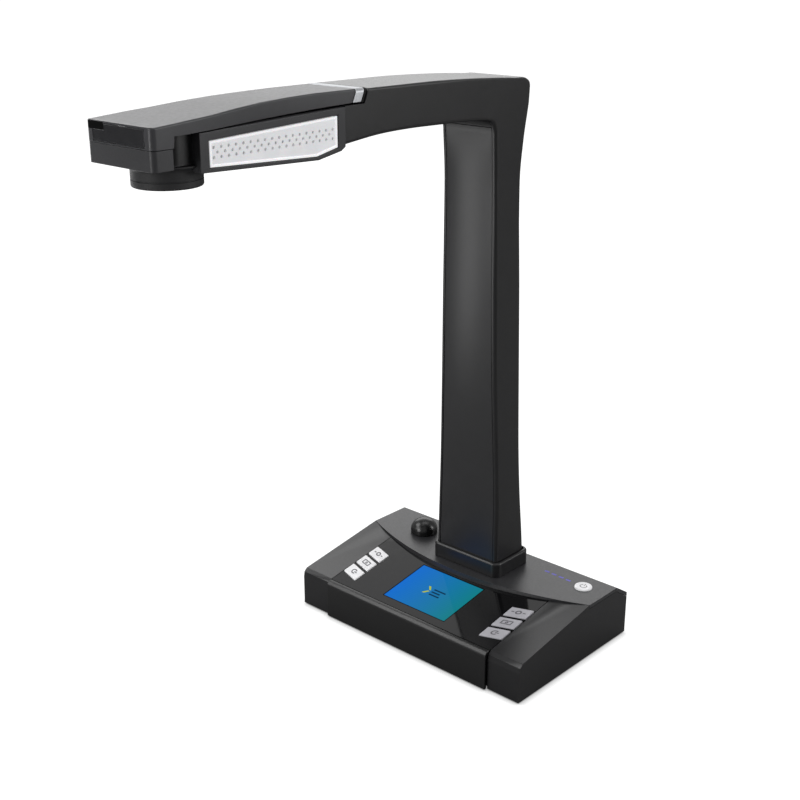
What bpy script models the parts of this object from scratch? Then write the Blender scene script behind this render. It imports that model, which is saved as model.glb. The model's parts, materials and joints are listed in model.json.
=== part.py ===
"""Desk document camera: a weighted base with a screen and keys, an L-shaped arm and a lamp head.

The drawing is in millimetres around the middle of the base's footprint, with +X to the right,
+Y to the back and +Z up. One empty moves it so that the origin is under the middle of the
whole object's box, and mesh data is stored in metres.
"""
import math

import bmesh
import bpy
from mathutils import Vector

MM = 0.001
GAP = 0.3                # air between neighbouring pieces
WALL = 2.2               # moulded wall thickness
PAST = 20.0              # how far a cutter reaches past what it cuts
SIDES = (("left", -1), ("right", 1))
CORNERS = ((-1, -1), (1, -1), (-1, 1), (1, 1))

# Base
BASE_HALF = 100.0        # half the width
BASE_FRONT = -62.2       # front face of the end caps
BASE_BACK = 62.5
BASE_UNDER = 1.0         # underside of the base, above the desk
CENTRE_HALF = 73.5       # half-width of the middle section, between the end caps
CAP_INNER = 74.0
FASCIA_PROUD = 2.3       # how far the fascia stands in front of the end caps
FACE_TOP = 24.4          # top of the vertical front face
SLOPE_START = (-61.0, 28.4)
SLOPE = math.radians(9.34)
REAR_TOP = 41.0
REAR_PLATE = 2.5
REAR_EDGE = 49.0         # where the flat top turns down at the back
REAR_EDGE_LOW = 32.3     # height of the chamfer's lower edge
ARC_RADIUS = 231.8       # curved front edge of the rear deck panel
ARC_FRONT = -7.0
SKIRT_LOW = 35.0
DECK_FRONT = -59.7
FASCIA_ROUND = 3.2       # rounded ridge along the fascia's top
FLOOR = 2.0              # tray floor thickness
TRAY_HIGH = 6.0
TRAY_WALL = 1.5
CAP_TURN = 48.2          # where the end caps' top turns down under the panel's chamfer
REAR_COVER_TOP = 29.0

# Screen, keys and controls
SCREEN_HALF = 28.2
SCREEN_LOW = 8.2         # along the slope from its front edge
SCREEN_HIGH = 52.4
KEY_INNER = 57.5
KEY_OUTER = 73.0
KEY_DEPTH = 10.6
KEY_PITCH = 13.2
KEY_REAR = 45.8          # along the slope: middle of the rear key's outer edge
KEY_SLANT = math.radians(16.5)
KEY_PROUD = 0.8
KEY_THICK = 2.4
KEY_CUT_REACH = 3.0      # the deck's cut-outs are open at their outer end
BUTTON_AT = (82.0, 34.0)
BUTTON_RADIUS = 6.3
BUTTON_TOP = 42.0
BUTTON_LOW = 36.2
KNOB_AT = (-59.3, 26.4)
KNOB_RADIUS = 10.2
KNOB_TOP = 52.6
KNOB_BORE = 3.3
SHAFT_RADIUS = 3.0
SHAFT_END = 47.5
BUSH_RADIUS = 4.8        # threaded bush of the potentiometer

# Inside the base
BALLAST_HALF = (70.0, 45.0)
BALLAST_THICK = 7.0
FOOT_AT = (84.0, 46.0)
FOOT_NAMES = ("front_left_foot", "front_right_foot", "rear_left_foot", "rear_right_foot")
FOOT_RADIUS = 7.0
FOOT_RECESS = 1.2
FOOT_CHAMFER = 0.6
BOARD_LOW = 14.0         # underside of the main board
BOARD_THICK = 1.6
SOCKET_BACK = BASE_BACK - 0.4
SOCKET_AIR = 0.6         # the rear cover's openings stand clear of the sockets
USB_AT = (-30.0, 16.6)   # x and z of each socket's middle
USB_HALF = (6.0, 5.6)
USB_MOUTH = (4.4, 4.2)
USB_MOUTH_FRONT = 49.0
INLET_AT = (30.0, 17.0)
INLET_HALF = 4.7
INLET_PIN = 1.1
INLET_BORE = 3.3
INLET_BORE_FRONT = 51.0

# Column and arm: outer (back, then top) and inner (front, then underside) lines as (y, z),
# with the half-width of the section between them
STATIONS = (
    ((38.0, 41.3), (4.2, 41.3), 27.7),
    ((35.9, 70.0), (4.2, 70.0), 27.1),
    ((33.7, 90.0), (4.5, 90.0), 26.9),
    ((31.9, 120.0), (4.2, 120.0), 26.1),
    ((31.1, 180.0), (2.4, 180.0), 24.3),
    ((29.7, 250.0), (1.0, 250.0), 23.1),
    ((27.7, 305.0), (0.5, 305.0), 22.4),
    ((27.9, 325.0), (0.0, 325.0), 22.2),
    ((30.4, 348.0), (-1.3, 348.0), 22.4),
    ((34.0, 376.0), (-2.3, 355.6), 22.4),
    ((33.3, 381.8), (-3.2, 357.6), 22.4),
    ((29.0, 384.4), (-4.8, 359.3), 22.4),
    ((19.0, 385.2), (-8.0, 360.6), 22.4),
    ((2.0, 386.4), (-16.0, 361.5), 22.3),
    ((-22.0, 387.7), (-32.0, 362.3), 22.2),
    ((-53.0, 388.8), (-53.0, 362.8), 22.1),
    ((-80.0, 389.1), (-80.0, 363.3), 22.0),
    ((-106.0, 389.2), (-106.0, 362.7), 22.0),
    ((-135.0, 389.3), (-135.0, 359.9), 22.0),
)
CORNER_STATION = 9       # last station of the column's front
SHELL_FRONT_ROUND = 2.4
SHELL_BACK_ROUND = 4.0
LIP = 2.9                # covers stop this far inside the shell's sides
COVER_THICK = 1.8
COLLAR_TOP = 52.0
COLLAR_OUT = 2.5
SPINE_HALF = 12.0
SPINE_FRONT = 8.0
SPINE_BACK = 22.0
SPINE_TOP = 352.0
SPINE_WALL = 1.5
FLANGE_HALF = (24.0, 15.0)
FLANGE_THICK = 2.5
SCREW_AT = (18.5, 11.0)
SCREW_RADIUS = 2.8
HARNESS_RADIUS = 1.8
HARNESS_ROUTE = (        # (y, z) from the main board up the spine and along the arm to the head
    (-5.0, 17.9), (2.0, 18.2), (9.0, 20.0), (14.0, 27.0), (15.0, 45.0), (15.0, 120.0),
    (15.0, 220.0), (15.0, 320.0), (13.5, 345.0), (7.0, 364.0), (-8.0, 374.0), (-35.0, 376.0),
    (-90.0, 376.5), (-150.0, 376.0), (-195.0, 375.5), (-221.0, 376.0),
)

# Head
NOSE_FRONT = -269.5
NOSE_BACK = -256.5
NOSE_SEAM = 372.3
HEAD_UNDER = 361.8
HEAD_HALF = 26.6
NOSE_ROUND = 3.2
CORE_HALF = 19.1         # half-width of the lower housing between the lamps
TOP_STATIONS = (         # (y, half-width, top height) of the head's top cover
    (-246.0, 26.2, 384.7),
    (-231.0, 25.5, 385.6),
    (-213.0, 23.5, 387.2),
    (-195.0, 21.5, 388.4),
    (-175.0, 20.2, 389.1),
    (-154.0, 19.6, 389.5),
)
NOSE_TOP = 383.2
RING_TOP = 389.5
RING_HALF = 20.6
RING_REAR = -117.6       # rear edge of the ring at the top
RING_WIDTH = 6.5
RING_LEAN = 0.44         # the ring leans forward this far for each millimetre down
RING_LOW = 382.0
NECK_TOP = 381.2         # the arm passes under the head's cover up to here
LAMP_FRONT = -240.0
LAMP_BACK = -135.6
LAMP_INNER = 19.4
LAMP_FACE = (25.6, 22.8)     # outer face at the front and at the back
LAMP_FRAME = (           # (y, z) of the housing's outline and of the window in it
    (LAMP_FRONT, 357.9), (LAMP_FRONT, 377.7), (LAMP_BACK, 380.8), (LAMP_BACK, 359.3),
    (-139.0, 357.3), (-157.0, 354.4),
)
LAMP_WINDOW = ((-234.0, 359.7), (-234.0, 373.5), (-141.4, 377.0), (-141.4, 359.3), (-158.0, 356.1))
COVER_WALL = 1.6         # the lid's walls
COVER_ROUND = 1.0        # round along the lid's top edges
HOUSING_TOP = 378.0
WINDOW_HALF = 20.6
WINDOW_LOW = NOSE_SEAM + 0.9
WINDOW_HIGH = NOSE_TOP - 1.3
WINDOW_THICK = 1.4
INDICATOR_EDGE = -11.5   # the indicator slot runs from here to the window's left end
INDICATOR_HIGH = 3.0
LENS_Y = -241.4
BARREL_RADIUS = 18.5
BARREL_LOW = 349.6
BARREL_FLARE = 3.8       # the barrel's root widens by this at the top
MOUTH_RADIUS = 13.2
BEZEL_RADIUS = 12.8
GLASS_RADIUS = 7.0
MODULE_RADIUS = 11.8
MODULE_TOP = 373.6

Y_SHIFT = -(NOSE_FRONT + BASE_BACK) / 2


# ---------------------------------------------------------------- geometry helpers

def deck_height(y):
    """Height of the sloping deck's top surface."""
    return SLOPE_START[1] + (y - SLOPE_START[0]) * math.tan(SLOPE)


def arc_y(x):
    """Front edge of the rear deck panel."""
    return ARC_FRONT + ARC_RADIUS - math.sqrt(ARC_RADIUS ** 2 - x ** 2)


def spread(low, high, count):
    return [low + (high - low) * i / (count - 1) for i in range(count)]


def arc_points(centre, radius, start, end, steps):
    """Points of a circular arc, angles in degrees."""
    angles = [math.radians(a) for a in spread(start, end, steps + 1)]
    return [(centre[0] + radius * math.cos(a), centre[1] + radius * math.sin(a)) for a in angles]


def rounded_rectangle(half_a, half_b, radius, centre=(0.0, 0.0), steps=3):
    """Outline of a rectangle with round corners."""
    points = []
    for corner, (sa, sb) in enumerate(((1, 1), (-1, 1), (-1, -1), (1, -1))):
        middle = (centre[0] + sa * (half_a - radius), centre[1] + sb * (half_b - radius))
        points += arc_points(middle, radius, 90 * corner, 90 * corner + 90, steps)
    return points


def principled(name, colour, roughness, metallic=0.0, alpha=1.0):
    material = bpy.data.materials.new(name)
    material.use_nodes = True
    shader = material.node_tree.nodes["Principled BSDF"]
    shader.inputs["Base Color"].default_value = (*colour, 1.0)
    shader.inputs["Roughness"].default_value = roughness
    shader.inputs["Metallic"].default_value = metallic
    shader.inputs["Alpha"].default_value = alpha
    return material


def make_object(name, bm, material=None, at=(0, 0, 0), tilt=0.0):
    """Turn a bmesh in millimetres into an object under the root empty."""
    bmesh.ops.recalc_face_normals(bm, faces=bm.faces)
    bmesh.ops.scale(bm, vec=(MM, MM, MM), verts=bm.verts)
    mesh = bpy.data.meshes.new(name)
    bm.to_mesh(mesh)
    bm.free()
    mesh.shade_smooth()
    mesh.set_sharp_from_angle(angle=math.radians(30))
    item = bpy.data.objects.new(name, mesh)
    bpy.context.scene.collection.objects.link(item)
    item.parent = ROOT
    item.location = Vector(at) * MM
    item.rotation_euler = (tilt, 0, 0)
    if material is None:
        item.hide_render = True
        item.display_type = "WIRE"
    else:
        mesh.materials.append(material)
    return item


def loft(name, rings, material=None, closed=False, **place):
    """Skin rings of equal length; closed joins the last ring to the first, else both are capped."""
    bm = bmesh.new()
    rows = [[bm.verts.new(point) for point in ring] for ring in rings]
    pairs = list(zip(rows, rows[1:])) + ([(rows[-1], rows[0])] if closed else [])
    for low, high in pairs:
        for i in range(len(low)):
            j = (i + 1) % len(low)
            bm.faces.new((low[i], low[j], high[j], high[i]))
    if not closed:
        bm.faces.new(rows[0])
        bm.faces.new(rows[-1])
    return make_object(name, bm, material, **place)


def prism(name, outline, axis, low, high, material=None, **place):
    """Extrude an outline along X, Y or Z. Its points are the other two coordinates, in order."""
    rings = []
    for value in (low, high):
        ring = [list(point) for point in outline]
        for point in ring:
            point.insert("XYZ".index(axis), value)
        rings.append(ring)
    return loft(name, rings, material, **place)


def box(name, xs, ys, zs, material=None, **place):
    outline = [(xs[0], ys[0]), (xs[1], ys[0]), (xs[1], ys[1]), (xs[0], ys[1])]
    return prism(name, outline, "Z", zs[0], zs[1], material, **place)


def turned(name, profile, material=None, sides=32, **place):
    """Turn a profile of (radius, height) about Z. Points at radius 0 close it, else it is a tube."""
    bm = bmesh.new()
    rows = []
    for radius, height in profile:
        if radius == 0:
            rows.append([bm.verts.new((0, 0, height))])
            continue
        turn = [2 * math.pi * i / sides for i in range(sides)]
        rows.append([bm.verts.new((radius * math.cos(a), radius * math.sin(a), height)) for a in turn])
    tube = len(rows[0]) > 1
    for low, high in list(zip(rows, rows[1:])) + ([(rows[-1], rows[0])] if tube else []):
        for i in range(sides):
            j = (i + 1) % sides
            corners = [low[i % len(low)], low[j % len(low)], high[j % len(high)], high[i % len(high)]]
            bm.faces.new(list(dict.fromkeys(corners)))
    return make_object(name, bm, material, **place)


def boolean(item, other, operation="DIFFERENCE"):
    modifier = item.modifiers.new(other.name, "BOOLEAN")
    modifier.operation = operation
    modifier.solver = "EXACT"
    modifier.object = other
    return item


def cut_cylinder(item, name, at, radius, low, high):
    tool = turned(name, [(0, low), (radius, low), (radius, high), (0, high)], at=(*at, 0))
    return boolean(item, tool)


def on_deck(along=0.0):
    """Placing of a piece drawn flat on the sloping deck: +Y up the slope, +Z out of it."""
    y = SLOPE_START[0] + along * math.cos(SLOPE)
    return {"at": (0, y, deck_height(y)), "tilt": SLOPE}


# ---------------------------------------------------------------- base casings

def base_tray(material):
    half = BASE_HALF - WALL - 0.6
    front, back = BASE_FRONT + WALL + 0.6, BASE_BACK - WALL - 0.6
    tray = box("base_tray", (-half, half), (front, back), (BASE_UNDER, BASE_UNDER + TRAY_HIGH), material)
    inside = box("tray_inside", (TRAY_WALL - half, half - TRAY_WALL), (front + TRAY_WALL, back - TRAY_WALL),
                 (BASE_UNDER + FLOOR, BASE_UNDER + TRAY_HIGH + PAST))
    boolean(tray, inside)
    for i, (sx, sy) in enumerate(CORNERS):
        at = (sx * FOOT_AT[0], sy * FOOT_AT[1])
        cut_cylinder(tray, f"foot_recess_{i}", at, FOOT_RADIUS + GAP, 0, BASE_UNDER + FOOT_RECESS)


def feet(material):
    top = BASE_UNDER + FOOT_RECESS - GAP
    profile = [(0, 0), (FOOT_RADIUS - FOOT_CHAMFER, 0), (FOOT_RADIUS, FOOT_CHAMFER), (FOOT_RADIUS, top),
               (0, top)]
    for name, (sx, sy) in zip(FOOT_NAMES, CORNERS):
        turned(name, profile, material, at=(sx * FOOT_AT[0], sy * FOOT_AT[1], 0))


def end_cap(side, sign, material):
    """Shell with a front, a sloping top up to the curved edge, an outer side and a back."""
    shelf = REAR_TOP - REAR_PLATE - GAP
    rings = []
    for x in spread(CAP_INNER, BASE_HALF, 5):
        edge = arc_y(x) - GAP
        outline = [(BASE_FRONT, BASE_UNDER), (BASE_FRONT, FACE_TOP), SLOPE_START,
                   (edge, deck_height(edge)), (edge, shelf), (CAP_TURN, shelf),
                   (BASE_BACK, REAR_COVER_TOP), (BASE_BACK, BASE_UNDER)]
        rings.append([(sign * x, y, z) for y, z in outline])
    cap = loft(f"{side}_end_cap", rings, material)
    under = shelf - WALL
    slope_end = SLOPE_START[0] + (shelf - SLOPE_START[1]) / math.tan(SLOPE)
    front, back, open_low = BASE_FRONT + WALL, BASE_BACK - WALL, BASE_UNDER - 2
    hollow = [(front, open_low), (front, FACE_TOP), (front + 1.5, SLOPE_START[1] - 2),
              (slope_end, under), (CAP_TURN - 0.8, under), (back, REAR_COVER_TOP - 1.4), (back, open_low)]
    inner, outer = sorted((sign * (CAP_INNER - 1), sign * (BASE_HALF - WALL)))
    boolean(cap, prism(f"{side}_cap_hollow", hollow, "X", inner, outer))
    return cap


def front_fascia(material):
    front, back = BASE_FRONT - FASCIA_PROUD, DECK_FRONT - GAP
    ridge = (front + FASCIA_ROUND, FACE_TOP + 1)
    outline = [(front, BASE_UNDER)]
    outline += arc_points(ridge, FASCIA_ROUND, 180, 90, 4)
    top = outline[-1][1]
    outline += [(back, top), (back, top - WALL - 0.8), (ridge[0], top - WALL - 0.8),
                (front + WALL, FACE_TOP - 1), (front + WALL, BASE_UNDER)]
    prism("front_fascia", outline, "X", -CENTRE_HALF, CENTRE_HALF, material)


def socket_box(name, at, half, front, back, material=None):
    """Block around a socket's middle in the back of the base."""
    return box(name, (at[0] - half[0], at[0] + half[0]), (front, back), (at[1] - half[1], at[1] + half[1]),
               material)


def key_outline(sign, grow=0.0, reach=0.0):
    """Slanted key face on the slope, its inner end nearer the front; reach lengthens the outer end."""
    half = KEY_DEPTH / 2 + grow / math.cos(KEY_SLANT)
    outer, inner = KEY_OUTER + reach, KEY_INNER - grow
    rise, drop = reach * math.tan(KEY_SLANT), (KEY_OUTER - inner) * math.tan(KEY_SLANT)
    return [(sign * outer, half + rise), (sign * outer, -half + rise),
            (sign * inner, -half - drop), (sign * inner, half - drop)]


def deck_plate(material):
    rings = []
    for x in spread(-CENTRE_HALF, CENTRE_HALF, 25):
        edge = arc_y(x) - GAP
        rings.append([(x, DECK_FRONT, deck_height(DECK_FRONT)), (x, edge, deck_height(edge)),
                      (x, edge, deck_height(edge) - WALL), (x, DECK_FRONT, deck_height(DECK_FRONT) - WALL)])
    plate = loft("deck_plate", rings, material)
    half = SCREEN_HALF + GAP
    window = (SCREEN_LOW - GAP, SCREEN_HIGH + GAP)
    boolean(plate, box("screen_cut", (-half, half), window, (-PAST, PAST), **on_deck()))
    for side, sign in SIDES:
        for number in range(3):
            tool = prism(f"{side}_key_cut_{number}", key_outline(sign, GAP, KEY_CUT_REACH), "Z", -PAST, PAST,
                         **on_deck(key_along(number)))
            boolean(plate, tool)


def rear_deck_panel(material):
    """Flat panel with a chamfered back and a skirt that closes its curved front edge."""
    rings = []
    for x in spread(-BASE_HALF, BASE_HALF, 33):
        edge = arc_y(x)
        outline = [(edge, REAR_TOP - REAR_PLATE), (edge, REAR_TOP), (REAR_EDGE, REAR_TOP),
                   (BASE_BACK, REAR_EDGE_LOW), (BASE_BACK, REAR_COVER_TOP + 1.2 * GAP),
                   (CAP_TURN + 0.1, REAR_TOP - REAR_PLATE)]
        rings.append([(x, y, z) for y, z in outline])
    panel = loft("rear_deck_panel", rings, material)
    skirt = []
    for x in spread(-CENTRE_HALF, CENTRE_HALF, 25):
        edge = arc_y(x)
        skirt.append([(x, edge, SKIRT_LOW), (x, edge, REAR_TOP - 1), (x, edge + WALL, REAR_TOP - 1),
                      (x, edge + WALL, SKIRT_LOW)])
    boolean(panel, loft("deck_skirt", skirt), "UNION")
    through = (REAR_TOP - 11, REAR_TOP + 9)
    cut_cylinder(panel, "button_cut", BUTTON_AT, BUTTON_RADIUS + GAP, *through)
    cut_cylinder(panel, "shaft_cut", KNOB_AT, SHAFT_RADIUS + 0.5, *through)
    half = SPINE_HALF + 3
    boolean(panel, box("spine_cut", (-half, half), (SPINE_FRONT - 3, SPINE_BACK + 3), through))


def rear_cover(material):
    cover = box("rear_cover", (-CENTRE_HALF, CENTRE_HALF), (BASE_BACK - WALL, BASE_BACK),
                (BASE_UNDER, REAR_COVER_TOP), material)
    for name, at, half in (("usb", USB_AT, USB_HALF), ("inlet", INLET_AT, (INLET_HALF, INLET_HALF))):
        opening = [half[0] + SOCKET_AIR, half[1] + SOCKET_AIR]
        boolean(cover, socket_box(f"{name}_cut", at, opening, BASE_BACK - WALL - PAST, BASE_BACK + PAST))


# ---------------------------------------------------------------- screen, keys and controls

def screen(glass_material, module_material):
    box("screen_glass", (-SCREEN_HALF, SCREEN_HALF), (SCREEN_LOW, SCREEN_HIGH), (-1.6, -0.1),
        glass_material, **on_deck())
    box("display_module", (-SCREEN_HALF - 2.5, SCREEN_HALF + 2.5), (SCREEN_LOW - 2, SCREEN_HIGH + 2),
        (-5.6, -2.7), module_material, **on_deck())


def key_along(number):
    """Place along the slope of a key's outer edge, 0 at the rear."""
    return KEY_REAR - number * KEY_PITCH


def keys(side, sign, material, board_material):
    for number in range(3):
        key = prism(f"{side}_key_{number + 1}", key_outline(sign), "Z",
                    KEY_PROUD - KEY_THICK, KEY_PROUD, material, **on_deck(key_along(number)))
        bevel = key.modifiers.new("edge", "BEVEL")
        bevel.width = 0.35 * MM
        bevel.segments = 2
    low, high = key_along(2) - 11, key_along(0) + 5.5
    inner, outer = sorted((sign * (KEY_INNER - 2), sign * (KEY_OUTER + 0.4)))
    board = box(f"{side}_key_board", (inner, outer), (low, high), (-4.8, -3.6), board_material, **on_deck())
    middle = sign * (KEY_INNER + KEY_OUTER) / 2
    for number in range(3):
        along = key_along(number) - 2.2
        switch = box(f"{side}_switch_{number}", (middle - 3, middle + 3), (along - 3, along + 3),
                     (-4.2, -2.8), **on_deck())
        boolean(board, switch, "UNION")


def power_button(button_material, switch_material):
    radius = BUTTON_RADIUS
    profile = [(0, BUTTON_LOW), (radius, BUTTON_LOW), (radius, BUTTON_TOP - 0.7),
               (radius - 0.2, BUTTON_TOP - 0.3), (radius - 0.7, BUTTON_TOP), (0, BUTTON_TOP)]
    turned("power_button", profile, button_material, at=(*BUTTON_AT, 0))
    x, y = BUTTON_AT
    board_top = BUTTON_LOW - 5.4
    switch = box("power_switch", (x - 7, x + 7), (y - 7, y + 7), (board_top - BOARD_THICK, board_top),
                 switch_material)
    body = box("switch_body", (x - 3, x + 3), (y - 3, y + 3), (board_top - 0.8, BUTTON_LOW - 1.8))
    boolean(switch, body, "UNION")


def brightness_knob(knob_material, shaft_material, body_material):
    """Domed knob with a blind bore, on the shaft of a panel-mounted potentiometer."""
    low = REAR_TOP + 0.4
    skirt = low + 2.2
    dome = []
    for angle in (0, 15, 30, 45, 58, 68):
        turn = math.radians(angle)
        dome.append((KNOB_RADIUS * math.cos(turn), skirt + (KNOB_TOP - skirt) * math.sin(turn)))
    bore_top = SHAFT_END + 0.4
    profile = [(0, bore_top), (KNOB_BORE, bore_top), (KNOB_BORE, low), (KNOB_RADIUS - 0.3, low),
               (KNOB_RADIUS, low + 0.3)]
    profile += dome + [(0, KNOB_TOP - 0.4)]
    turned("brightness_knob", profile, knob_material, at=(*KNOB_AT, 0))
    bush_top = REAR_TOP - REAR_PLATE - GAP
    bush_low = bush_top - 6.2
    foot = bush_low + 1
    shaft = [(0, foot + 0.4), (SHAFT_RADIUS, foot + 0.4), (SHAFT_RADIUS, SHAFT_END), (0, SHAFT_END)]
    turned("potentiometer_shaft", shaft, shaft_material, sides=20, at=(*KNOB_AT, 0))
    body = [(0, bush_low - 8), (8, bush_low - 8), (8, bush_low), (BUSH_RADIUS, bush_low),
            (BUSH_RADIUS, bush_top), (SHAFT_RADIUS + GAP, bush_top), (SHAFT_RADIUS + GAP, foot), (0, foot)]
    turned("potentiometer_body", body, body_material, sides=20, at=(*KNOB_AT, 0))


# ---------------------------------------------------------------- inside the base

def inner_base(steel, board_material, socket_material):
    low = BASE_UNDER + FLOOR + GAP
    top = low + BALLAST_THICK
    hx, hy = BALLAST_HALF
    ballast = box("ballast_plate", (-hx, hx), (-hy, hy), (low, top), steel)
    standoff = [(0, top - 1), (2.4, top - 1), (2.4, BOARD_LOW - GAP), (0, BOARD_LOW - GAP)]
    for i, (sx, sy) in enumerate(CORNERS):
        post = turned(f"standoff_{i}", standoff, sides=12, at=(sx * 40, -25 + sy * 17, 0))
        boolean(ballast, post, "UNION")
    box("main_board", (-46, 46), (-44, -2), (BOARD_LOW, BOARD_LOW + BOARD_THICK), board_material)

    usb = socket_box("usb_socket", USB_AT, USB_HALF, USB_MOUTH_FRONT - 3, SOCKET_BACK, socket_material)
    boolean(usb, socket_box("usb_hollow", USB_AT, USB_MOUTH, USB_MOUTH_FRONT, SOCKET_BACK + PAST))
    inlet_half = (INLET_HALF, INLET_HALF)
    inlet = socket_box("dc_inlet", INLET_AT, inlet_half, INLET_BORE_FRONT - 3, SOCKET_BACK, socket_material)
    ring = [(INLET_PIN, 0), (INLET_BORE, 0), (INLET_BORE, PAST), (INLET_PIN, PAST)]
    bore = turned("inlet_bore", ring, sides=12)
    bore.rotation_euler = (-math.pi / 2, 0, 0)
    bore.location = Vector((INLET_AT[0], INLET_BORE_FRONT, INLET_AT[1])) * MM
    boolean(inlet, bore)


# ---------------------------------------------------------------- column and arm

def station(place):
    """Outer point, inner point and half-width at a fractional station number."""
    index = min(int(place), len(STATIONS) - 2)
    part = place - index
    before, after = STATIONS[index], STATIONS[index + 1]
    outer = Vector(before[0]).lerp(Vector(after[0]), part)
    inner = Vector(before[1]).lerp(Vector(after[1]), part)
    return outer, inner, before[2] + (after[2] - before[2]) * part


def section(place, outline):
    """Place an outline, a function of half-width and depth, on the plane of one station."""
    outer, inner, half = station(place)
    depth = (outer - inner).length
    along = (outer - inner) / depth
    return [(x, *(inner + along * v)) for x, v in outline(half, depth)]


def shell_outline(half, depth):
    """C-shaped section: open towards the inner side, with a short lip on each edge."""
    right = [(half - LIP, 0.0)]
    right += arc_points((half - SHELL_FRONT_ROUND, SHELL_FRONT_ROUND), SHELL_FRONT_ROUND, -90, 0, 4)
    right += arc_points((half - SHELL_BACK_ROUND, depth - SHELL_BACK_ROUND), SHELL_BACK_ROUND, 0, 90, 4)
    inside = [(half - LIP, WALL), (half - WALL, WALL + 0.7), (half - WALL, depth - SHELL_BACK_ROUND),
              (half - SHELL_BACK_ROUND, depth - WALL)]
    left = [(-x, v) for x, v in reversed(right)]
    inside_left = [(-x, v) for x, v in inside]
    return right + left + inside_left + list(reversed(inside))


def cover_outline(half, depth):
    edge = half - LIP - GAP
    return [(edge, 0.0), (edge, COVER_THICK), (-edge, COVER_THICK), (-edge, 0.0)]


def ring_plane(z, forward=0.0):
    """Y of the trim ring's leaning rear plane, or of one parallel to it."""
    return RING_REAR - (RING_TOP - z) * RING_LEAN - forward


def column_and_arm(shell_material, cover_material, steel):
    last = len(STATIONS) - 1
    shell = loft("arm_column_shell", [section(i, shell_outline) for i in range(last + 1)], shell_material)
    above, ahead = RING_TOP + PAST, STATIONS[last][0][0] - PAST
    notch = [(ring_plane(above) + GAP, above), (ring_plane(NECK_TOP) + GAP, NECK_TOP), (ahead, NECK_TOP),
             (ahead, above)]
    boolean(shell, prism("neck_cut", notch, "X", -30, 30))
    front = [section(i, cover_outline) for i in range(CORNER_STATION + 1)]
    loft("column_front_cover", front, cover_material)
    places = [CORNER_STATION + 0.25] + list(range(CORNER_STATION + 1, last + 1))
    loft("arm_lower_cover", [section(i, cover_outline) for i in places], shell_material)

    centre = (0, (STATIONS[0][0][0] + STATIONS[0][1][0]) / 2)
    half_x = STATIONS[0][2]
    half_y = (STATIONS[0][0][0] - STATIONS[0][1][0]) / 2
    levels = [(COLLAR_OUT, REAR_TOP + GAP, 6), (COLLAR_OUT, COLLAR_TOP - 1.2, 6),
              (COLLAR_OUT - 0.8, COLLAR_TOP, 5.2), (0.4, COLLAR_TOP, 2.6), (0.4, REAR_TOP + GAP, 2.6)]
    rings = [[(*point, z) for point in rounded_rectangle(half_x + out, half_y + out, radius, centre, 5)]
             for out, z, radius in levels]
    loft("column_collar", rings, shell_material, closed=True)

    floor = BASE_UNDER + FLOOR + BALLAST_THICK + 2 * GAP
    middle = (SPINE_FRONT + SPINE_BACK) / 2
    spine = box("column_spine", (-SPINE_HALF, SPINE_HALF), (SPINE_FRONT, SPINE_BACK), (floor, SPINE_TOP), steel)
    flange_x, flange_y = FLANGE_HALF
    flange_top = floor + FLANGE_THICK
    flange = box("spine_flange", (-flange_x, flange_x), (middle - flange_y, middle + flange_y),
                 (floor, flange_top))
    boolean(spine, flange, "UNION")
    inner = SPINE_HALF - SPINE_WALL
    bore = box("spine_bore", (-inner, inner), (SPINE_FRONT + SPINE_WALL, SPINE_BACK - SPINE_WALL),
               (flange_top, SPINE_TOP + PAST))
    boolean(spine, bore)
    boolean(spine, box("spine_window", (-6, 6), (SPINE_FRONT - 5, SPINE_FRONT + 5), (floor + 5, floor + 20)))
    head = flange_top + GAP
    profile = [(0, head), (SCREW_RADIUS, head), (SCREW_RADIUS, head + 1.2), (SCREW_RADIUS - 0.8, head + 2),
               (0, head + 2)]
    for number, (sx, sy) in enumerate(CORNERS, 1):
        at = (sx * SCREW_AT[0], middle + sy * SCREW_AT[1], 0)
        turned(f"spine_screw_{number}", profile, steel, sides=16, at=at)


def wiring_harness(material):
    """Cable from the main board up the spine and along the arm to the camera board."""
    points = [Vector((0, y, z)) for y, z in HARNESS_ROUTE]
    smooth = []
    for i in range(len(points) - 1):
        ends = [points[max(i - 1, 0)], points[i], points[i + 1], points[min(i + 2, len(points) - 1)]]
        for part in (0, 1 / 3, 2 / 3):
            smooth.append(catmull_rom(ends, part))
    smooth.append(points[-1])
    curve = bpy.data.curves.new("wiring_harness", "CURVE")
    curve.dimensions = "3D"
    curve.bevel_depth = HARNESS_RADIUS * MM
    curve.bevel_resolution = 1
    curve.use_fill_caps = True
    spline = curve.splines.new("POLY")
    spline.points.add(len(smooth) - 1)
    for point, place in zip(spline.points, smooth):
        point.co = (*(place * MM), 1)
    curve.materials.append(material)
    item = bpy.data.objects.new("wiring_harness", curve)
    bpy.context.scene.collection.objects.link(item)
    item.parent = ROOT


def catmull_rom(ends, part):
    """Point between the middle two of four points on a smooth curve through them."""
    a, b, c, d = ends
    return 0.5 * (2 * b + (c - a) * part + (2 * a - 5 * b + 4 * c - d) * part ** 2
                  + (3 * b - a - 3 * c + d) * part ** 3)


# ---------------------------------------------------------------- head

def lamp_face(y):
    """Outer face of a light housing, a little nearer the middle towards the arm."""
    part = (y - LAMP_FRONT) / (LAMP_BACK - LAMP_FRONT)
    return LAMP_FACE[0] + (LAMP_FACE[1] - LAMP_FACE[0]) * part


def cover_low(y):
    """Lower edge of the head's top cover behind the nose."""
    return 378.3 + (y - LAMP_FRONT) * 0.035


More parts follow.
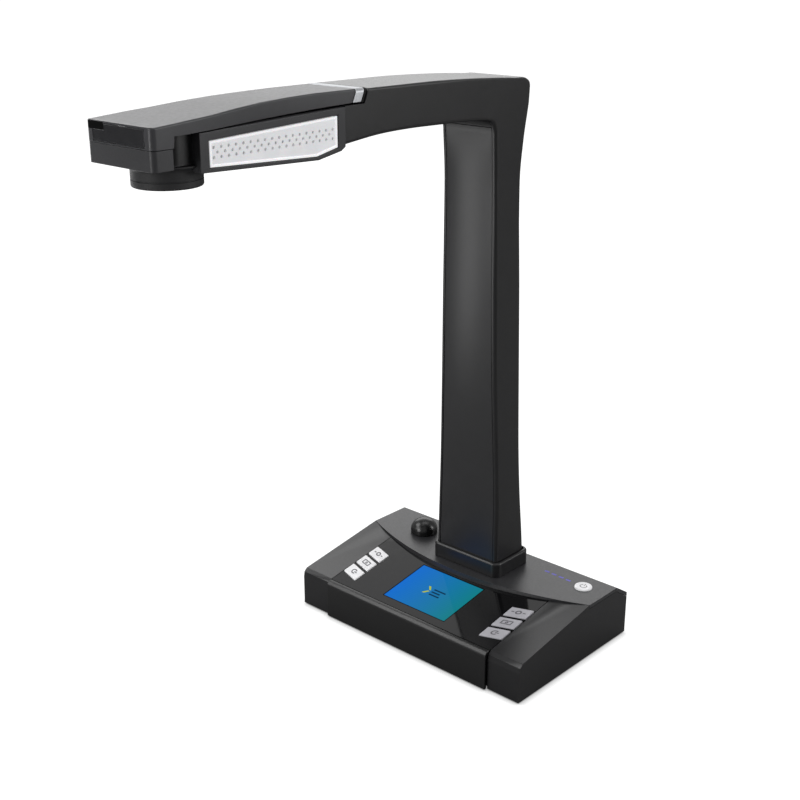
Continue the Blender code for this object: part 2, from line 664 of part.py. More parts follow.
def trim_ring(material):
    half, thick, radius = RING_HALF, 1.0, 2.2
    outer = arc_points((half - radius, RING_TOP + 0.1 - radius), radius, 0, 90, 4)
    inner = arc_points((half - radius, RING_TOP + 0.1 - radius), radius - thick, 0, 90, 4)
    side = [(half, RING_LOW)] + outer
    inside = [(half - thick, RING_LOW)] + inner
    outline = side + [(-x, z) for x, z in reversed(side)]
    outline += [(-x, z) for x, z in inside] + list(reversed(inside))
    rings = [[(x, ring_plane(z, forward), z) for x, z in outline] for forward in (0, RING_WIDTH)]
    loft("trim_ring", rings, material)


def nose_corner(half, radius):
    """Rounded corner of the nose in plan, from the front face to the side, as (x, y)."""
    return arc_points((half - radius, NOSE_FRONT + radius), radius, -90, 0, 4)


def head_top_cover(material):
    """Glossy lid: flat top with a round edge, sides, and the nose's upper front wall."""
    rows = [(y, half, NOSE_TOP, NOSE_SEAM) for half, y in nose_corner(HEAD_HALF, NOSE_ROUND)]
    step = NOSE_TOP + 0.7
    rows.append((NOSE_BACK, HEAD_HALF, step, NOSE_SEAM))
    rows.append((NOSE_BACK + 0.6, HEAD_HALF, step, HOUSING_TOP))
    rows += [(y, half, top, cover_low(y)) for y, half, top in TOP_STATIONS]
    rings = [cover_section(*row) for row in rows]
    end_half = RING_HALF - 0.6
    end = cover_section(0, end_half, RING_TOP - 0.1, RING_LOW)
    rings.append([(x, ring_plane(z, RING_WIDTH + GAP), z) for x, _, z in end])
    cover = loft("head_top_cover", rings, material)
    last_row = (RING_REAR + PAST / 2, end_half, RING_TOP, 0)
    hollow = []
    for y, half, top, _ in rows[4:] + [last_row]:
        wide, high, low = half - COVER_WALL, top - COVER_WALL, HEAD_UNDER - PAST
        hollow.append([(-wide, y, low), (-wide, y, high), (wide, y, high), (wide, y, low)])
    boolean(cover, loft("cover_hollow", hollow))
    boolean(cover, box("window_cut", (-WINDOW_HALF - GAP, WINDOW_HALF + GAP),
                       (NOSE_FRONT - PAST, NOSE_BACK + 1.5), (WINDOW_LOW - GAP, WINDOW_HIGH + GAP)))


def front_window(material, indicator_material):
    """Smoked window in the nose, with the indicator's slot in its upper left corner."""
    slot_low = WINDOW_HIGH - INDICATOR_HIGH
    back = NOSE_FRONT + WINDOW_THICK
    window = box("front_window", (-WINDOW_HALF, WINDOW_HALF), (NOSE_FRONT, back), (WINDOW_LOW, WINDOW_HIGH),
                 material)
    boolean(window, box("indicator_cut", (-WINDOW_HALF - PAST, INDICATOR_EDGE),
                        (NOSE_FRONT - PAST, back + PAST), (slot_low, WINDOW_HIGH + PAST)))
    box("indicator_lens", (-WINDOW_HALF, INDICATOR_EDGE - GAP), (NOSE_FRONT + 0.3, back),
        (slot_low + GAP, WINDOW_HIGH), indicator_material)


def cover_section(y, half, top, low):
    """Section of the lid, with a small round along each top edge."""
    middle = (half - COVER_ROUND, top - COVER_ROUND)
    right = [(half, low)] + arc_points(middle, COVER_ROUND, 0, 90, 3)
    return [(x, y, z) for x, z in right + [(-x, z) for x, z in reversed(right)]]


def head_lower_housing(material):
    """Tub with a wide nose, a scallop behind it on each side and a narrow core between the lamps."""
    wide, scallop = HEAD_HALF - 0.1, NOSE_BACK - 0.6
    side = nose_corner(wide, NOSE_ROUND) + [(wide, scallop)]
    for angle in (20, 40, 60, 80, 90):
        turn = math.radians(angle)
        side.append((wide - (wide - CORE_HALF) * math.sin(turn), scallop + 9 * (1 - math.cos(turn))))
    side.append((CORE_HALF, LAMP_BACK))
    outline = side + [(-x, y) for x, y in reversed(side)]
    housing = prism("head_lower_housing", outline, "Z", HEAD_UNDER, HOUSING_TOP, material)
    boolean(housing, box("nose_cut", (-2 * wide, 2 * wide), (NOSE_FRONT - PAST, NOSE_BACK + 0.9),
                         (NOSE_SEAM - GAP, HOUSING_TOP + PAST)))
    inner = CORE_HALF - 1.8
    boolean(housing, box("tub_cut", (-inner, inner), (NOSE_FRONT + 3, LAMP_BACK - 2),
                         (HEAD_UNDER + 2, HOUSING_TOP + PAST)))
    cut_cylinder(housing, "lens_cut", (0, LENS_Y), MODULE_RADIUS + 0.6, HEAD_UNDER - 10, HEAD_UNDER + 8)
    boolean(housing, box("harness_cut", (-4, 4), (LAMP_BACK - PAST, LAMP_BACK + PAST),
                         (HOUSING_TOP - 7, HOUSING_TOP + PAST)))


def light(side, sign, housing_material, panel_material, board_material):
    """Lamp on one side of the head: a frame, the perforated diffuser in it and the LED board."""
    rings = [[(sign * LAMP_INNER, y, z) for y, z in LAMP_FRAME],
             [(sign * lamp_face(y), y, z) for y, z in LAMP_FRAME]]
    housing = loft(f"{side}_light_housing", rings, housing_material)
    low, high = sorted((sign * (LAMP_INNER - 9), sign * (LAMP_INNER + PAST)))
    boolean(housing, prism(f"{side}_lamp_cut", LAMP_WINDOW, "X", low, high))
    corners = [Vector(point) for point in LAMP_WINDOW]
    centre = sum(corners, Vector((0, 0))) / len(corners)

    def inset(amount):
        return [point + (centre - point).normalized() * amount for point in corners]

    panel = [[(sign * (lamp_face(y) - back), y, z) for y, z in inset(0.55)] for back in (1.5, 0.3)]
    loft(f"{side}_light_panel", panel, panel_material)
    low, high = sorted((sign * (LAMP_INNER + 0.2), sign * (LAMP_INNER + 1.2)))
    prism(f"{side}_led_board", inset(1.5), "X", low, high, board_material)


def lens(barrel_material, glass_material, steel, board_material):
    """Barrel under the nose, with the lens and its bezel inside and the camera module above."""
    top = HEAD_UNDER - GAP
    at = (0, LENS_Y, 0)
    radius = BARREL_RADIUS
    profile = [(radius + BARREL_FLARE, top), (radius + BARREL_FLARE - 0.4, top - 0.5),
               (radius + 0.4, top - 2.8), (radius, top - 3.4), (radius, BARREL_LOW + 0.8),
               (radius - 0.8, BARREL_LOW), (MOUTH_RADIUS + 1, BARREL_LOW), (MOUTH_RADIUS, BARREL_LOW + 1.2),
               (MOUTH_RADIUS, top)]
    barrel = turned("lens_barrel", profile, barrel_material, sides=40, at=at)
    for side, sign in SIDES:
        inner, outer = sorted((sign * (CORE_HALF + 0.1), sign * (CORE_HALF + PAST)))
        boolean(barrel, box(f"{side}_flange_cut", (inner, outer), (LAMP_FRONT - 0.4, LENS_Y + 2 * PAST),
                            (BARREL_LOW + 2.4, HEAD_UNDER + PAST)))
    bezel_hole = GLASS_RADIUS + 0.4
    turned("lens_bezel", [(BEZEL_RADIUS, top), (BEZEL_RADIUS, BARREL_LOW + 2.4), (bezel_hole, BARREL_LOW + 5),
                          (bezel_hole, top)], barrel_material, at=at)
    glass = [(0, BARREL_LOW + 5.2), (GLASS_RADIUS / 2, BARREL_LOW + 5.6), (GLASS_RADIUS, BARREL_LOW + 7),
             (GLASS_RADIUS, top - 1), (0, top - 1)]
    turned("lens_glass", glass, glass_material, at=at)
    module = [(0, HEAD_UNDER), (MODULE_RADIUS, HEAD_UNDER), (MODULE_RADIUS, MODULE_TOP), (0, MODULE_TOP)]
    turned("camera_module", module, steel, sides=24, at=at)
    low = MODULE_TOP + 0.4
    box("camera_board", (-16, 16), (LENS_Y - 20, LENS_Y + 20), (low, low + 1.4), board_material)


# ---------------------------------------------------------------- assembly

for leftover in list(bpy.data.objects):
    bpy.data.objects.remove(leftover, do_unlink=True)

ROOT = bpy.data.objects.new("document_camera", None)
bpy.context.scene.collection.objects.link(ROOT)
ROOT.location = (0, Y_SHIFT * MM, 0)

MATERIALS = {
    "shell_plastic": principled("shell_plastic", (0.022, 0.023, 0.025), 0.42),
    "front_cover_plastic": principled("front_cover_plastic", (0.045, 0.046, 0.048), 0.4),
    "deck_plastic": principled("deck_plastic", (0.018, 0.018, 0.02), 0.12),
    "rear_panel_plastic": principled("rear_panel_plastic", (0.05, 0.05, 0.052), 0.35),
    "lid_plastic": principled("lid_plastic", (0.02, 0.02, 0.022), 0.15),
    "window_plastic": principled("window_plastic", (0.01, 0.01, 0.012), 0.06),
    "indicator_lens": principled("indicator_lens", (0.004, 0.004, 0.005), 0.1),
    "screen_glass": principled("screen_glass", (0.02, 0.22, 0.5), 0.08),
    "display_module": principled("display_module", (0.3, 0.3, 0.31), 0.4, 0.8),
    "white_key_plastic": principled("white_key_plastic", (0.82, 0.82, 0.83), 0.35),
    "grey_key_plastic": principled("grey_key_plastic", (0.5, 0.5, 0.52), 0.35),
    "knob_plastic": principled("knob_plastic", (0.01, 0.01, 0.011), 0.1),
    "zinc_steel": principled("zinc_steel", (0.55, 0.55, 0.56), 0.35, 1.0),
    "circuit_board": principled("circuit_board", (0.02, 0.16, 0.06), 0.5),
    "socket_shell": principled("socket_shell", (0.03, 0.03, 0.03), 0.5),
    "diffuser_plastic": principled("diffuser_plastic", (0.82, 0.83, 0.84), 0.45),
    "trim_chrome": principled("trim_chrome", (0.75, 0.76, 0.78), 0.25, 1.0),
    "lens_glass": principled("lens_glass", (0.1, 0.12, 0.16), 0.03, alpha=0.5),
    "foot_rubber": principled("foot_rubber", (0.015, 0.015, 0.015), 0.8),
    "cable_jacket": principled("cable_jacket", (0.02, 0.02, 0.022), 0.55),
}


def build():
    m = MATERIALS
    base_tray(m["shell_plastic"])
    feet(m["foot_rubber"])
    for side, sign in SIDES:
        cap = end_cap(side, sign, m["shell_plastic"])
        if side == "right":
            cut_cylinder(cap, "cap_button_cut", BUTTON_AT, BUTTON_RADIUS + 2 * GAP, REAR_TOP - 11, REAR_TOP + 9)
    front_fascia(m["shell_plastic"])
    deck_plate(m["deck_plastic"])
    rear_deck_panel(m["rear_panel_plastic"])
    rear_cover(m["shell_plastic"])
    screen(m["screen_glass"], m["display_module"])
    for (side, sign), finish in zip(SIDES, ("white_key_plastic", "grey_key_plastic")):
        keys(side, sign, m[finish], m["circuit_board"])
    power_button(m["white_key_plastic"], m["circuit_board"])
    brightness_knob(m["knob_plastic"], m["zinc_steel"], m["socket_shell"])
    inner_base(m["zinc_steel"], m["circuit_board"], m["socket_shell"])
    column_and_arm(m["shell_plastic"], m["front_cover_plastic"], m["zinc_steel"])
    wiring_harness(m["cable_jacket"])
    trim_ring(m["trim_chrome"])
    head_top_cover(m["lid_plastic"])
    front_window(m["window_plastic"], m["indicator_lens"])
    head_lower_housing(m["shell_plastic"])
    for side, sign in SIDES:
        light(side, sign, m["shell_plastic"], m["diffuser_plastic"], m["circuit_board"])
    lens(m["shell_plastic"], m["lens_glass"], m["zinc_steel"], m["circuit_board"])
    bpy.context.view_layer.update()


build()
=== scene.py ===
"""Finished look of the desk document camera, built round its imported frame.

Shapes are drawn in millimetres round the middle of the base's footprint, with +X to the right,
+Y to the back and +Z up. Each piece is moved from there to the frame's own place as it is made.
"""
import json
import math

import bmesh
import bpy
from mathutils import Matrix, Vector


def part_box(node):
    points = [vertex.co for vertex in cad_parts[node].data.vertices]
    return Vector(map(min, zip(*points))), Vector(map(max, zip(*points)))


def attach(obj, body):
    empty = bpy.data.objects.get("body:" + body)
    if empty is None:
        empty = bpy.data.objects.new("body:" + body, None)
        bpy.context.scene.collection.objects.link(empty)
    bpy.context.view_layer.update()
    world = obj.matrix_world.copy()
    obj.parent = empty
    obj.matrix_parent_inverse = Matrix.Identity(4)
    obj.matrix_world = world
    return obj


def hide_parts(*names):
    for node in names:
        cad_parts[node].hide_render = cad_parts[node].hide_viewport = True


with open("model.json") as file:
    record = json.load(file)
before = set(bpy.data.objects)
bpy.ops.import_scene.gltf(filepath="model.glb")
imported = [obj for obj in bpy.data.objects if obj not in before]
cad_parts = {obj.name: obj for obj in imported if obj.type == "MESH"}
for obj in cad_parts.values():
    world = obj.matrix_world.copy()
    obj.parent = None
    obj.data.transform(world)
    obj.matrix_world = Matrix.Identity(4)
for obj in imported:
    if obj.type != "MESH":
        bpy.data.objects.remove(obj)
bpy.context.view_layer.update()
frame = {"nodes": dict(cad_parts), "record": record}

MM = 0.001
GAP = 0.3                # air between neighbouring pieces
BASE_BACK = 62.5         # the base's back face, behind the middle of its footprint
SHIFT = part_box("rear_cover")[1].y / MM - BASE_BACK
SIDES = (("left", -1), ("right", 1))


def span(node):
    """Lowest and highest corner of a CAD node, in the drawing's millimetres."""
    return [corner / MM - Vector((0, SHIFT, 0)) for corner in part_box(node)]


# Base
SLOPE = math.radians(9.34)       # the front deck's
SLOPE_START = (-61.0, 28.4)      # (y, z) of the deck's front edge
REAR_TOP = 41.0          # the flat rear panel's top and thickness
REAR_PLATE = 2.5
REAR_COVER_TOP = 29.0
CHAMFER_START = 48.2     # behind this the rear panel falls to the rear cover
CAP_CHAMFER = 2.6        # flat along the end caps' front edge
RIDGE_FLAT = 0.36        # how far the ridge's middle is pressed in, which leaves a flat there
EDGE_ROUND = 0.7         # round along the casings' other edges
SEAL_FRONT = 43.0        # the seals under the rear panel start behind the power button
SEAL_REACH = (74.6, 99.9)        # their inner and outer side, from the middle
SEAL_LOW = 0.22          # their underside, below the panel's
FOOT_DIMPLE = 3.9        # radius and depth of the hollow under a foot, then its rim's round
FOOT_HOLLOW = 0.5
FOOT_ROUND = 0.8

# Controls and screen
KEY_INNER = 57.5
KEY_OUTER = 73.0
KEY_DEPTH = 10.6
KEY_PITCH = 13.2
KEY_REAR = 45.8          # middle of the rear keys, up the slope
KEY_SLANT = math.radians(16.5)
KEY_TOP = 0.8            # a keycap's top and underside, from the deck
KEY_UNDER = -1.6
SIGN_LEAN = 0.9          # share of the keys' slant that their printed signs follow
INK_THICK = 0.02         # printed ink
BUTTON_RADIUS = 6.3
BUTTON_ROUND = 0.9
BUTTON_RIM = 0.7         # flat rim round the button's dish
BUTTON_DISH = 0.15       # the dish's depth
DASH_START = (47.5, 35.2)        # the first dash beside the power button
DASH_SIZE = (3.9, 1.8)
DASH_STEP = (6.3, -0.3)          # from one dash to the next
KNOB_SKIRT = 2.2         # height of the knob's straight foot
SCREEN_HALF_X = span("screen_glass")[1].x
SCREEN_HALF_Y = 22.1
SCREEN_MIDDLE = 30.3     # up the slope from its front edge
SCREEN_BORDER = 0.4      # black border round the lit picture
GLASS_SUNK = 0.1         # the cover glass lies this far below the deck
GLASS_THICK = 1.5
CHEVRON = ((-7.5, 4.2), (-5.6, 4.2), (-3.0, 0.6), (-4.6, 0.6))      # its upper arm, on the picture
MENU_REACH = (-1.4, 9.0)         # left and right end of the picture's menu lines
MENU_HALF = 0.7          # half the lines' width
MENU_LINES = ((2.6, 0.0), (-0.4, 3.0), (-3.4, 1.5))      # (middle, how much shorter) of each line
WAVE_PITCH = math.pi / 10        # the wave texture's pitch at scale 1
DISPLAY_ROW = 1.78       # the display's rows, as coarse as they need to show; really about 0.2 apart

# Column and arm: outer (back, then top) and inner (front, then underside) lines as (y, z),
# with the half-width of the section between them
STATIONS = (
    (38.0, 41.3, 4.2, 41.3, 27.7),
    (35.9, 70.0, 4.2, 70.0, 27.1),
    (33.7, 90.0, 4.5, 90.0, 26.9),
    (31.9, 120.0, 4.2, 120.0, 26.1),
    (31.1, 180.0, 2.4, 180.0, 24.3),
    (29.7, 250.0, 1.0, 250.0, 23.1),
    (27.7, 305.0, 0.5, 305.0, 22.4),
    (27.9, 325.0, 0.0, 325.0, 22.2),
    (30.4, 348.0, -1.3, 348.0, 22.4),
    (34.0, 376.0, -2.3, 355.6, 22.4),
    (33.3, 381.8, -3.2, 357.6, 22.4),
    (29.0, 384.4, -4.8, 359.3, 22.4),
    (19.0, 385.2, -8.0, 360.6, 22.4),
    (2.0, 386.4, -16.0, 361.5, 22.3),
    (-22.0, 387.7, -32.0, 362.3, 22.2),
    (-53.0, 388.8, -53.0, 362.8, 22.1),
    (-80.0, 389.1, -80.0, 363.3, 22.0),
    (-106.0, 389.2, -106.0, 362.7, 22.0),
    (-135.0, 389.3, -135.0, 359.9, 22.0),
)
CORNER_STATION = 9       # last station of the column's front
STATION_STEPS = 4        # smooth steps between two stations
WALL = 2.2
LIP = 2.9                # covers stop this far inside the shell's sides
COVER_THICK = 1.8
FRONT_ROUND = 2.4
BACK_ROUND = 4.0         # rounds along the column's back and along the arm's top
TOP_ROUND = 1.4
BEND_START = 352.0       # height where the column bends into the arm
BEND_FADE = 9.0          # the back's round changes to the top's over this height
CROWN = 2.0              # the column's front cover bulges this far in its middle
CROWN_FADE = (54.0, 96.0)        # heights between which the bulge grows from nothing
CROWN_END = 22.0         # the bulge fades over this height below the bend
COLLAR_OUT = 2.5         # how far the collar stands out from the column
COLLAR_ROUND = 1.6
COLLAR_CORNER = 6.0
CUT_HALF = 30.0          # half the width of a tool that cuts right through
CUT_PAST = 20.0          # how far a cutting tool reaches past what it cuts

# Head
RING_TOP = 389.6
RING_REAR = -117.6
RING_WIDTH = 6.5
RING_LEAN = 0.44         # how far the ring's planes lean forward for each step down
RING_THICK = 1.0
RING_ROUND = 2.4
SEAM = 1.9               # dark joint between the ring and the arm
NECK_TOP = 381.2
NOSE_FRONT = -269.5
NOSE_BACK = -256.5
HEAD_HALF = 26.6
CORE_HALF = 19.1         # half-width of the lower housing between the lamps
SCALLOP_DEEP = 9.0       # length of the hollows behind the nose
SHADE_SHEET = 0.4              # thickness of the black sheets of painted shade in them
SHADE_SHEET_SPAN = (362.6, 377.4)      # their lowest and highest edge
SHADE_SHEET_END = -240.9
SLOT_LEFT = -24.6        # black indicator slot under the nose's top edge
SLOT_RIGHT = -11.8
SLOT_LOW = 378.9
SLOT_HIGH = 382.5
LAMP_WINDOW = ((-234.0, 359.7), (-234.0, 373.5), (-141.4, 377.0), (-141.4, 359.3), (-158.0, 356.1))
LAMP_FRONT = -240.0      # the light housings' front end, length, outer face there and its taper
LAMP_LONG = 104.4
LAMP_OUT = 25.6
LAMP_TAPER = 2.8
RIM_SECTION = ((0.45, 1.5), (0.45, 0.5), (0.6, 0.3), (1.5, 0.3), (1.7, 0.5), (1.7, 1.5))     # (inset, depth)
PANEL_INSET = 1.8        # the opal panel inside the rim, and how deep its back and face lie
PANEL_SPAN = (1.5, 0.7)
HOLE_START = -230.6      # the diffuser's holes, along the head
HOLE_PITCH = 5.02
HOLE_COUNT = 18
HOLE_ROWS = (369.7, 367.2, 364.7)
HOLE_RADIUS = 0.9
LENS_Y = -241.4
BARREL_RADIUS = 18.5
BARREL_FLARE = 3.8       # the barrel widens this much under the nose, over the next height
FLARE_TALL = 2.9
GROOVE = (0.35, 3.6, 4.4)        # depth, lower and upper edge of the groove round the barrel
BARREL_MOUTH = 14.2
BARREL_BORE = 13.2
BEZEL_RADIUS = 12.8
BEZEL_FRONT = 12.0       # radius of the bezel's first step, then how far each goes inwards and up
BEZEL_STEP = (1.15, 0.62)
BEZEL_STEPS = 4
BEZEL_HOLE = 7.4
LENS_RADIUS = 7.0
LENS_BULGE = 1.8

# Studio: a white room whose floor and walls look white and light the object less than that
FLOOR_SEEN = (0.2, 0.2, 0.2, 1)
FLOOR_LIGHT = (0.28, 0.28, 0.28, 1)
WHITE = (1, 1, 1, 1)
ROOM_LIGHT = 0.42
CONTACT = 6.0            # the floor darkens within this distance of the object
FLOOR_REACH = 30.0       # metres
AIM = (0.0, 0.0, 0.2)    # metres, as are the softboxes' distances and sizes
SOFTBOXES = (            # name, direction from the object, distance, size and brightness
    ("back_softbox", (-0.633, 0.696, 0.36), 2.4, (2.6, 1.1), 1.5),
    ("key_softbox", (-0.62, -0.36, 0.7), 1.7, (0.9, 0.9), 3.0),
    ("top_softbox", (0.1, 0.1, 1.0), 2.0, (1.4, 1.4), 1.3),
    ("upper_back_softbox", (-0.633, 0.6, 0.72), 2.4, (2.6, 0.9), 0.42),
    ("front_softbox", (-0.14, -0.98, 0.12), 1.6, (0.4, 1.1), 7.0),
    ("column_softbox", (-0.18, -0.15, 0.03), 0.236, (0.14, 0.26), 2.3),
    ("right_softbox", (0.78, 0.45, 0.3), 1.8, (0.9, 0.9), 4.2),
)
CAMERA_AT = (0.52070, -0.53532, 0.46617)
CAMERA_TURN = math.radians(42.286)
CAMERA_DROP = math.radians(19.842)
CAMERA_LENS = 57.30
CAMERA_SENSOR = 36.0


# ---- drawing

def spread(low, high, count):
    """That many values at even steps, from low to high."""
    return [low + (high - low) * i / (count - 1) for i in range(count)]


def arc_points(centre, radius, start, end, steps):
    """Points of a circular arc, angles in degrees."""
    angles = [math.radians(a) for a in spread(start, end, steps + 1)]
    return [(centre[0] + radius * math.cos(a), centre[1] + radius * math.sin(a)) for a in angles]


def rounded_rectangle(half_a, half_b, radius, centre, steps):
    """Points of a rectangle with round corners."""
    points = []
    for corner, (sa, sb) in enumerate(((1, 1), (-1, 1), (-1, -1), (1, -1))):
        middle = (centre[0] + sa * (half_a - radius), centre[1] + sb * (half_b - radius))
        points += arc_points(middle, radius, 90 * corner, 90 * corner + 90, steps)
    return points


def smooth_rows(rows, steps):
    """A smooth curve through rows of numbers, with that many steps between two of them."""
    rows = [Vector(row) for row in rows]
    reach = [(b - a).length for a, b in zip(rows, rows[1:])]
    slopes = [(rows[1] - rows[0]) / reach[0]]
    for i in range(1, len(rows) - 1):
        before, after = (rows[i] - rows[i - 1]) / reach[i - 1], (rows[i + 1] - rows[i]) / reach[i]
        slopes.append((before * reach[i] + after * reach[i - 1]) / (reach[i] + reach[i - 1]))
    slopes.append((rows[-1] - rows[-2]) / reach[-1])
    found = []
    for i, length in enumerate(reach):
        for t in [k / steps for k in range(steps)]:
            found.append(rows[i] * (2 * t ** 3 - 3 * t ** 2 + 1) + rows[i + 1] * (3 * t ** 2 - 2 * t ** 3)
                         + slopes[i] * length * (t ** 3 - 2 * t ** 2 + t)
                         + slopes[i + 1] * length * (t ** 3 - t ** 2))
    return found + [rows[-1]]


def loft(rings, closed=False):
    """Skin rings of equal length; closed joins the last ring to the first, else both are capped."""
    bm = bmesh.new()
    rows = [[bm.verts.new(point) for point in ring] for ring in rings]
    for low, high in list(zip(rows, rows[1:])) + ([(rows[-1], rows[0])] if closed else []):
        for i in range(len(low)):
            j = (i + 1) % len(low)
            bm.faces.new((low[i], low[j], high[j], high[i]))
    if not closed:
        bm.faces.new(rows[0])
        bm.faces.new(rows[-1])
    bmesh.ops.recalc_face_normals(bm, faces=bm.faces)
    return bm


def prism(outline, axis, low, high):
    """Extrude an outline along X, Y or Z. Its points are the other two coordinates, in order."""
    rings = []
    for value in (low, high):
        ring = [list(point) for point in outline]
        for point in ring:
            point.insert("XYZ".index(axis), value)
        rings.append(ring)
    return loft(rings)


def block(low, high):
    """A plain box between two corners."""
    outline = [(low[0], low[1]), (high[0], low[1]), (high[0], high[1]), (low[0], high[1])]
    return prism(outline, "Z", low[2], high[2])


def turned(profile, sides=64, centre=(0, 0)):
    """Turn a profile of (radius, height) about Z. Points at radius 0 close it, else it is a tube."""
    bm = bmesh.new()
    turn = [2 * math.pi * i / sides for i in range(sides)]
    rows = []
    for radius, height in profile:
        if radius == 0:
            rows.append([bm.verts.new((*centre, height))])
            continue
        circle = [(centre[0] + radius * math.cos(a), centre[1] + radius * math.sin(a)) for a in turn]
        rows.append([bm.verts.new((*point, height)) for point in circle])
    tube = len(rows[0]) > 1
    for low, high in list(zip(rows, rows[1:])) + ([(rows[-1], rows[0])] if tube else []):
        for i in range(sides):
            j = (i + 1) % sides
            corners = [low[i % len(low)], low[j % len(low)], high[j % len(high)], high[i % len(high)]]
            bm.faces.new(list(dict.fromkeys(corners)))
    bmesh.ops.recalc_face_normals(bm, faces=bm.faces)
    return bm


def shape_of(node):
    """A copy of a CAD node's solid, its triangles joined into flat faces again."""
    bm = bmesh.new()
    bm.from_mesh(frame["nodes"][node].data)
    bm.transform(Matrix.Translation((0, -SHIFT, 0)) @ Matrix.Scale(1 / MM, 4))
    bmesh.ops.remove_doubles(bm, verts=bm.verts, dist=0.002)
    bmesh.ops.dissolve_limit(bm, angle_limit=math.radians(0.8), verts=bm.verts, edges=bm.edges)
    return bm


def round_edges(bm, radius, segments=3, chosen=None, least=25):
    """Round the edges whose faces turn by at least that many degrees, or the chosen ones of them."""
    bm.normal_update()
    edges = []
    for edge in bm.edges:
        if len(edge.link_faces) != 2 or edge.calc_face_angle() <= math.radians(least):
            continue
        first, second = (vertex.co for vertex in edge.verts)
        if chosen is None or chosen((first + second) / 2, first - second):
            edges.append(edge)
    bmesh.ops.bevel(bm, geom=edges, offset=radius, offset_type="OFFSET", segments=segments, profile=0.5,
                    affect="EDGES", clamp_overlap=True)
    return bm


def joined(*parts):
    """Several solids in one mesh."""
    whole = bmesh.new()
    for part in parts:
        mesh = bpy.data.meshes.new("part")
        part.to_mesh(mesh)
        part.free()
        whole.from_mesh(mesh)
        bpy.data.meshes.remove(mesh)
    return whole


def carve(bm, *tools):
    """Cut tools out of a solid."""
    made = []
    for part in (bm, *tools):
        mesh = bpy.data.meshes.new("carving")
        part.to_mesh(mesh)
        part.free()
        made.append(bpy.data.objects.new("carving", mesh))
        bpy.context.scene.collection.objects.link(made[-1])
    for tool in made[1:]:
        modifier = made[0].modifiers.new("cut", "BOOLEAN")
        modifier.solver = "EXACT"
        modifier.object = tool
    result = bmesh.new()
    evaluated = made[0].evaluated_get(bpy.context.evaluated_depsgraph_get())
    result.from_mesh(evaluated.to_mesh())
    evaluated.to_mesh_clear()
    for item in made:
        mesh = item.data
        bpy.data.objects.remove(item)
        bpy.data.meshes.remove(mesh)
    bmesh.ops.dissolve_limit(result, angle_limit=math.radians(0.3), verts=result.verts, edges=result.edges)
    return result


def piece(name, bm, use, replaces=(), slot=None, body="root", at=(0, 0, 0), tilt=0.0, crease=35):
    """Turn a drawing into a piece with a finish, on a body, in the frame's place."""
    bmesh.ops.scale(bm, vec=(MM, MM, MM), verts=bm.verts)
    mesh = bpy.data.meshes.new(name)
    bm.to_mesh(mesh)
    bm.free()
    mesh.shade_smooth()
    mesh.set_sharp_from_angle(angle=math.radians(crease))
    mesh.materials.append(FINISHES[use])
    item = bpy.data.objects.new(name, mesh)
    bpy.context.scene.collection.objects.link(item)
    item.location = (Vector(at) + Vector((0, SHIFT, 0))) * MM
    item.rotation_euler = (tilt, 0, 0)
    flat = item.modifiers.new("flat_faces", "WEIGHTED_NORMAL")
    flat.keep_sharp = True
    flat.weight = 95
    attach(item, body)
    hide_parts(*replaces)
    return item


def on_deck(along):
    """Placing of a piece drawn flat on the sloping deck: +Y up the slope, +Z out of it."""
    y = SLOPE_START[0] + along * math.cos(SLOPE)
    z = SLOPE_START[1] + along * math.sin(SLOPE)
    return {"at": (0, y, z), "tilt": SLOPE}


# ---- finishes

def linear(code):
    """An sRGB hex colour as the linear RGBA that shaders take."""
    found = []
    for i in (0, 2, 4):
        value = int(code[i:i + 2], 16) / 255
        found.append(value / 12.92 if value <= 0.04045 else ((value + 0.055) / 1.055) ** 2.4)
    return (*found, 1.0)


def add(tree, kind, values=None, links=None, colours=(), **settings):
    """Add a shader node: its settings, its sockets' values and links, and a ramp's colours, evenly."""
    made = tree.nodes.new("ShaderNode" + kind)
    for name, value in settings.items():
        setattr(made, name, value)
    for name, value in (values or {}).items():
        made.inputs[name].default_value = value
    for name, source in (links or {}).items():
        tree.links.new(source, made.inputs[name])
    for place in spread(0, 1, len(colours))[1:-1] if colours else ():
        made.color_ramp.elements.new(place)
    for number, code in enumerate(colours):
        made.color_ramp.elements[number].color = linear(code)
    return made


def finish(name, shade, *settings):
    """A material drawn by a shading function, in the piece's own coordinates in metres."""
    material = bpy.data.materials.new(name)
    material.use_nodes = True
    tree = material.node_tree
    tree.nodes.clear()
    shader = shade(tree, add(tree, "TexCoord").outputs["Object"], *settings)
    add(tree, "OutputMaterial", links={"Surface": shader.outputs[0]})
    return material


